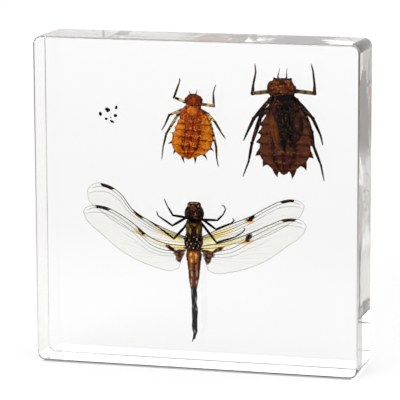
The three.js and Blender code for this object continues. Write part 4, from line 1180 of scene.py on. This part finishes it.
large_feelers = together(
    limb([[-1.2, 5.2, 0.3], [-1.45, 6.5, 0.2], [-1.1, 7.8, 0.1], [-0.8, 9.3, 0.06]], (0.0, 0.0)),
    limb([[1.3, 5.2, 0.3], [1.45, 6.5, 0.2], [1.5, 7.8, 0.1], [1.6, 9.3, 0.06]], (0.0, 0.0)),
)
large_horns = knobs([[-2.55, 0.0, 5.5], [2.75, 0.0, 5.5]], [[0.5, 0.5, 0.65]] * 2, [14, -14], 12, 14, 0.08)
large_piece("horns", together(large_horns, large_feelers), large_horn_shell)
large_legs = [limb(knots, LARGE_LEG_DEPTHS, knuckle=1.4) for knots in LARGE_LEGS]
large_piece("legs", together(*large_legs), large_leg_shell)
large_hairs = [limb_bristles(knots, LARGE_LEG_DEPTHS, 0.28, 0.42, 0.016) for knots in LARGE_LEGS]
large_piece("hairs", together(*large_hairs), hair_shell)

solid, marks = nymph_back(SMALL_LEFT, SMALL_RIGHT, SMALL_DEPTHS, 0.25)
small_piece("abdomen", solid, small_back, "small_nymph", marks=marks)
small_spines = nymph_spines(
    SMALL_LEFT, SMALL_RIGHT, SMALL_LEFT_TIPS, SMALL_RIGHT_TIPS,
    middle=(-0.8, -10.0), radius=0.8, middle_y=0.3,
)
small_piece("spines", small_spines, small_spine_shell)
small_piece("thorax", body(SMALL_BODY, 70, 44), small_shell)
small_piece("wing_cases", wing_cases(SMALL_PADS, -1.5, 0.65), small_pad_shell)
small_head = together(body(SMALL_HEAD, 60, 40), head_lumps(34, 2.5, 1.4, (0.0, 2.0), 0.18))
small_piece("head", small_head, small_head_shell)
small_eyes = knobs([[-2.4, -0.1, 1.9], [2.4, -0.1, 1.9]], [[0.65, 0.85, 1.0]] * 2, [12, -12], 20, 24)
small_piece("eyes", small_eyes, small_head_shell)
small_feelers = together(
    limb([[-0.9, 3.6, 0.18], [-1.3, 4.3, 0.13], [-1.7, 4.9, 0.06]], (0.0, 0.0)),
    limb([[0.6, 3.6, 0.18], [0.9, 4.6, 0.13], [1.2, 5.5, 0.06]], (0.0, 0.0)),
)
small_legs = [limb(knots, SMALL_LEG_DEPTHS, stout=1.2, knuckle=1.35) for knots in SMALL_LEGS]
small_piece("legs", together(*small_legs, small_feelers), small_leg_shell)
small_hairs = [limb_bristles(knots, SMALL_LEG_DEPTHS, 0.26, 0.3, 0.013) for knots in SMALL_LEGS]
small_piece("hairs", together(*small_hairs), hair_shell)


# ---- Eggs ----

# Each egg or clump is a list of grains: [x, z, half length, half width, turn in degrees], in the block's
# frame.
egg_skin = shell("dried_egg", BLOCK_PLACE, (16, 11, 10), mottle=0.3, rough=0.45, relief=0.3, grain=2600.0)
EGGS = {
    "egg_clump": [(-31.7, 85.4, 0.62, 0.5, 20), (-31.0, 85.1, 0.55, 0.5, -30), (-31.4, 84.7, 0.5, 0.42, 0)],
    "egg_1": [(-28.4, 86.0, 0.66, 0.42, 75)],
    "egg_2": [(-33.9, 83.7, 0.7, 0.52, 100)],
    "egg_3": [(-28.7, 83.3, 0.58, 0.55, 0)],
    "egg_4": [(-31.9, 82.1, 0.55, 0.4, 10)],
    "egg_5": [(-29.9, 81.3, 0.82, 0.38, -28)],
    "egg_6": [(-30.3, 82.6, 0.3, 0.22, 0)],
}
for node, grains in EGGS.items():
    x, z, half_length, half_width, turn = np.array(grains, float).T
    halves = np.stack([half_length, half_width, half_width], -1)
    solid = knobs(np.stack([x, 0 * x, z], -1), halves, turn, 22, 28, ripple=0.06)
    piece(node + "_grains", solid, BLOCK_PLACE, egg_skin, "egg_shell", node)


# ---- Floor, light and camera ----

# The floor's glow, painted light that stands in for a pool of lamp light, with a painted contact shadow
# (FOOT) along the block's feet. A ramp runs from where it has no effect to where it is full, in metres. NEAR
# and FAR ones and the side patch's START and END run along y, behind the block's middle plane (+) or in front
# of it (-). The side patch's EDGE runs along x with SIDE_LEAN times y added. The others run past (+) or
# inside (-) the outline of the block's underside.
FLOOR_COLOUR = 0.22
NEAR_GLOW, NEAR_RAMP = 0.725, (-0.26, -0.08)
FAR_GLOW, FAR_RAMP = 0.05, (0.15, 0.95)
SIDE_GLOW, SIDE_START, SIDE_END = 0.5, (0.19, 0.22), (0.46, 0.4)
SIDE_EDGE, SIDE_LEAN = (0.036, 0.046), -0.2
BENEATH_GLOW, BENEATH_RAMP = 1.45, (0.0, -0.0015)
FOOT_SHADE, FOOT_OUTSIDE, FOOT_INSIDE = 0.7, (0.0018, 0.0003), (-0.0008, -0.0001)
FOOT_END = (-0.0012, -0.0032)


def sweep_finish():
    """The pale floor. Its glow is painted light, emission that stands in for a pool of lamp light: it glows
    near the block and behind it and hardly at all out in front, because the block's polished front mirrors
    that floor over everything in it. A brighter patch behind on the right, whose edge leans aside, is what
    the block's side face mirrors. Beneath the block the glow is stronger, and along the feet of its two faces
    runs a thin dark line, a painted contact shadow. The glow is the near, far and side ramps added up, times
    the strength beneath less the painted shadow of the feet."""
    material, tree, shader = new_finish("pale_sweep")
    here = add(tree, "TexCoord").outputs["Object"]
    x, y = add(tree, "SeparateXYZ", {"Vector": here}).outputs[:2]
    near = between(tree, y, *NEAR_RAMP, 0.0, NEAR_GLOW)
    far = between(tree, y, *FAR_RAMP, 0.0, FAR_GLOW)
    leaning = worked(tree, "MULTIPLY_ADD", y, SIDE_LEAN, x)
    side = worked(tree, "MULTIPLY", between(tree, leaning, *SIDE_EDGE), between(tree, y, *SIDE_END))
    side = worked(tree, "MULTIPLY", side, between(tree, y, *SIDE_START, 0.0, SIDE_GLOW))
    glow = worked(tree, "ADD", worked(tree, "ADD", near, far), side)
    past_end = worked(tree, "SUBTRACT", worked(tree, "ABSOLUTE", x), HALF_WIDTH * MM)
    past_face = worked(tree, "SUBTRACT", worked(tree, "ABSOLUTE", y), HALF_DEPTH * MM)
    past = worked(tree, "MAXIMUM", past_end, past_face)
    beneath = between(tree, past, *BENEATH_RAMP, 1.0, BENEATH_GLOW)
    # The painted contact shadow: a thin dark line on the floor along the feet of the block's front and back
    # faces, where the block would shade it.
    outside = between(tree, past_face, *FOOT_OUTSIDE, 0.0, FOOT_SHADE)
    painted_foot_shadow = worked(tree, "MULTIPLY", outside, between(tree, past_face, *FOOT_INSIDE))
    painted_foot_shadow = worked(tree, "MULTIPLY", painted_foot_shadow, between(tree, past_end, *FOOT_END))
    glow = worked(tree, "MULTIPLY", glow, worked(tree, "SUBTRACT", beneath, painted_foot_shadow))
    feed(tree, shader, {
        "Base Color": (FLOOR_COLOUR, FLOOR_COLOUR, FLOOR_COLOUR, 1.0), "Roughness": 0.9,
        "Specular IOR Level": 0.1, "Emission Color": (1.0, 1.0, 1.0, 1.0), "Emission Strength": glow,
    })
    return material


def sweep():
    """A plain pale floor, a twentieth of a millimetre below the block, that curves up behind it into a wall:
    out flat, then a quarter circle 0.4 m in radius, then straight up."""
    low, radius, front_y, back_y, half_width, top = -0.05 * MM, 0.4, -3.0, 1.3, 3.0, 2.6
    a = np.linspace(0.0, 0.5 * np.pi, 24)
    y = np.concatenate([[front_y], back_y + radius * np.sin(a), [back_y + radius]])
    z = np.concatenate([[low], low + radius * (1 - np.cos(a)), [top]])
    x = np.array([-half_width, half_width])
    points = np.stack([np.repeat(x, len(y)), np.tile(y, 2), np.tile(z, 2)], -1)
    row = np.arange(len(y) - 1)
    faces = np.stack([row, row + len(y), row + len(y) + 1, row + 1], -1)
    mesh = bpy.data.meshes.new("sweep")
    mesh.from_pydata(points.tolist(), [], faces.tolist())
    mesh.polygons.foreach_set("use_smooth", np.ones(len(faces), dtype=bool))
    mesh.materials.append(sweep_finish())
    made = stood("sweep", mesh)


def turned(made, place, right, up, back):
    """Sets an object in place, looking the other way from `back`."""
    axes = np.stack([right, up, back], 1)
    made.matrix_world = Matrix([[*axes[k], place[k]] for k in range(3)] + [[0, 0, 0, 1]])


def soft_light(name, place, aim, size, power):
    """A square soft light that faces its aim."""
    data = bpy.data.lights.new(name, "AREA")
    data.size = size
    data.energy = power
    back = np.array(place, float) - np.array(aim, float)
    back /= np.linalg.norm(back)
    right = np.cross([0.0, 0.0, 1.0], back)
    right /= np.linalg.norm(right)
    turned(stood(name, data), place, right, np.cross(back, right), back)


sweep()
soft_light("front_light", (-0.45, -1.25, 0.42), (0, 0, 0.055), 0.9, 19.0)
soft_light("top_light", (0.2, -0.2, 1.4), (0, 0, 0.05), 0.6, 3.0)

ROOM_LIGHT = 0.92
world = bpy.data.worlds.new("studio")
bpy.context.scene.world = world
world.use_nodes = True
feed(world.node_tree, world.node_tree.nodes["Background"], {
    "Color": (1.0, 1.0, 1.0, 1.0), "Strength": ROOM_LIGHT,
})

# The camera stands round to the right and a little above, by these angles in degrees, and looks at the
# middle of the block. The picture's middle stands PICTURE_SHIFT off the lens's axis, to the right and up, in
# pixels of a square picture with PICTURE_SIDE of them to a side.
CAMERA_ROUND, CAMERA_UP, CAMERA_ROLL = (math.radians(angle) for angle in (14.845, 10.661, -0.204))
CAMERA_AWAY = 887.2 * MM
CAMERA_LENS = 240.47
PICTURE_SIDE = 400
PICTURE_SHIFT = (-2.142, 1.315)


def set_camera():
    """The camera's back is the direction round by one angle and up by the other. Level and upright axes
    square to it are turned together by the roll."""
    back = np.array([
        math.sin(CAMERA_ROUND) * math.cos(CAMERA_UP), -math.cos(CAMERA_ROUND) * math.cos(CAMERA_UP),
        math.sin(CAMERA_UP),
    ])
    level = np.array([math.cos(CAMERA_ROUND), math.sin(CAMERA_ROUND), 0.0])
    upright = np.cross(back, level)
    right = level * math.cos(CAMERA_ROLL) + upright * math.sin(CAMERA_ROLL)
    up = upright * math.cos(CAMERA_ROLL) - level * math.sin(CAMERA_ROLL)
    data = bpy.data.cameras.new("camera")
    data.sensor_width = 36.0
    data.lens = CAMERA_LENS
    data.clip_start = 0.05
    data.clip_end = 20.0
    data.shift_x, data.shift_y = (pixels / PICTURE_SIDE for pixels in PICTURE_SHIFT)
    camera = stood("camera", data)
    turned(camera, np.array([0.0, 0.0, HALF_WIDTH * MM]) + back * CAMERA_AWAY, right, up, back)
    return camera


scene = bpy.context.scene
scene.camera = set_camera()
scene.view_settings.view_transform = "Standard"
# The block's polished front mirrors a little of the pale floor over everything in it. The picture's black
# point is set to that level.
BLACK_POINT = 0.018
scene.view_settings.use_curve_mapping = True
scene.view_settings.curve_mapping.black_level = (BLACK_POINT, BLACK_POINT, BLACK_POINT)
scene.view_settings.curve_mapping.update()
scene.cycles.max_bounces = 32
scene.cycles.transmission_bounces = 32
scene.cycles.glossy_bounces = 16
scene.cycles.transparent_max_bounces = 48
scene.cycles.use_denoising = True
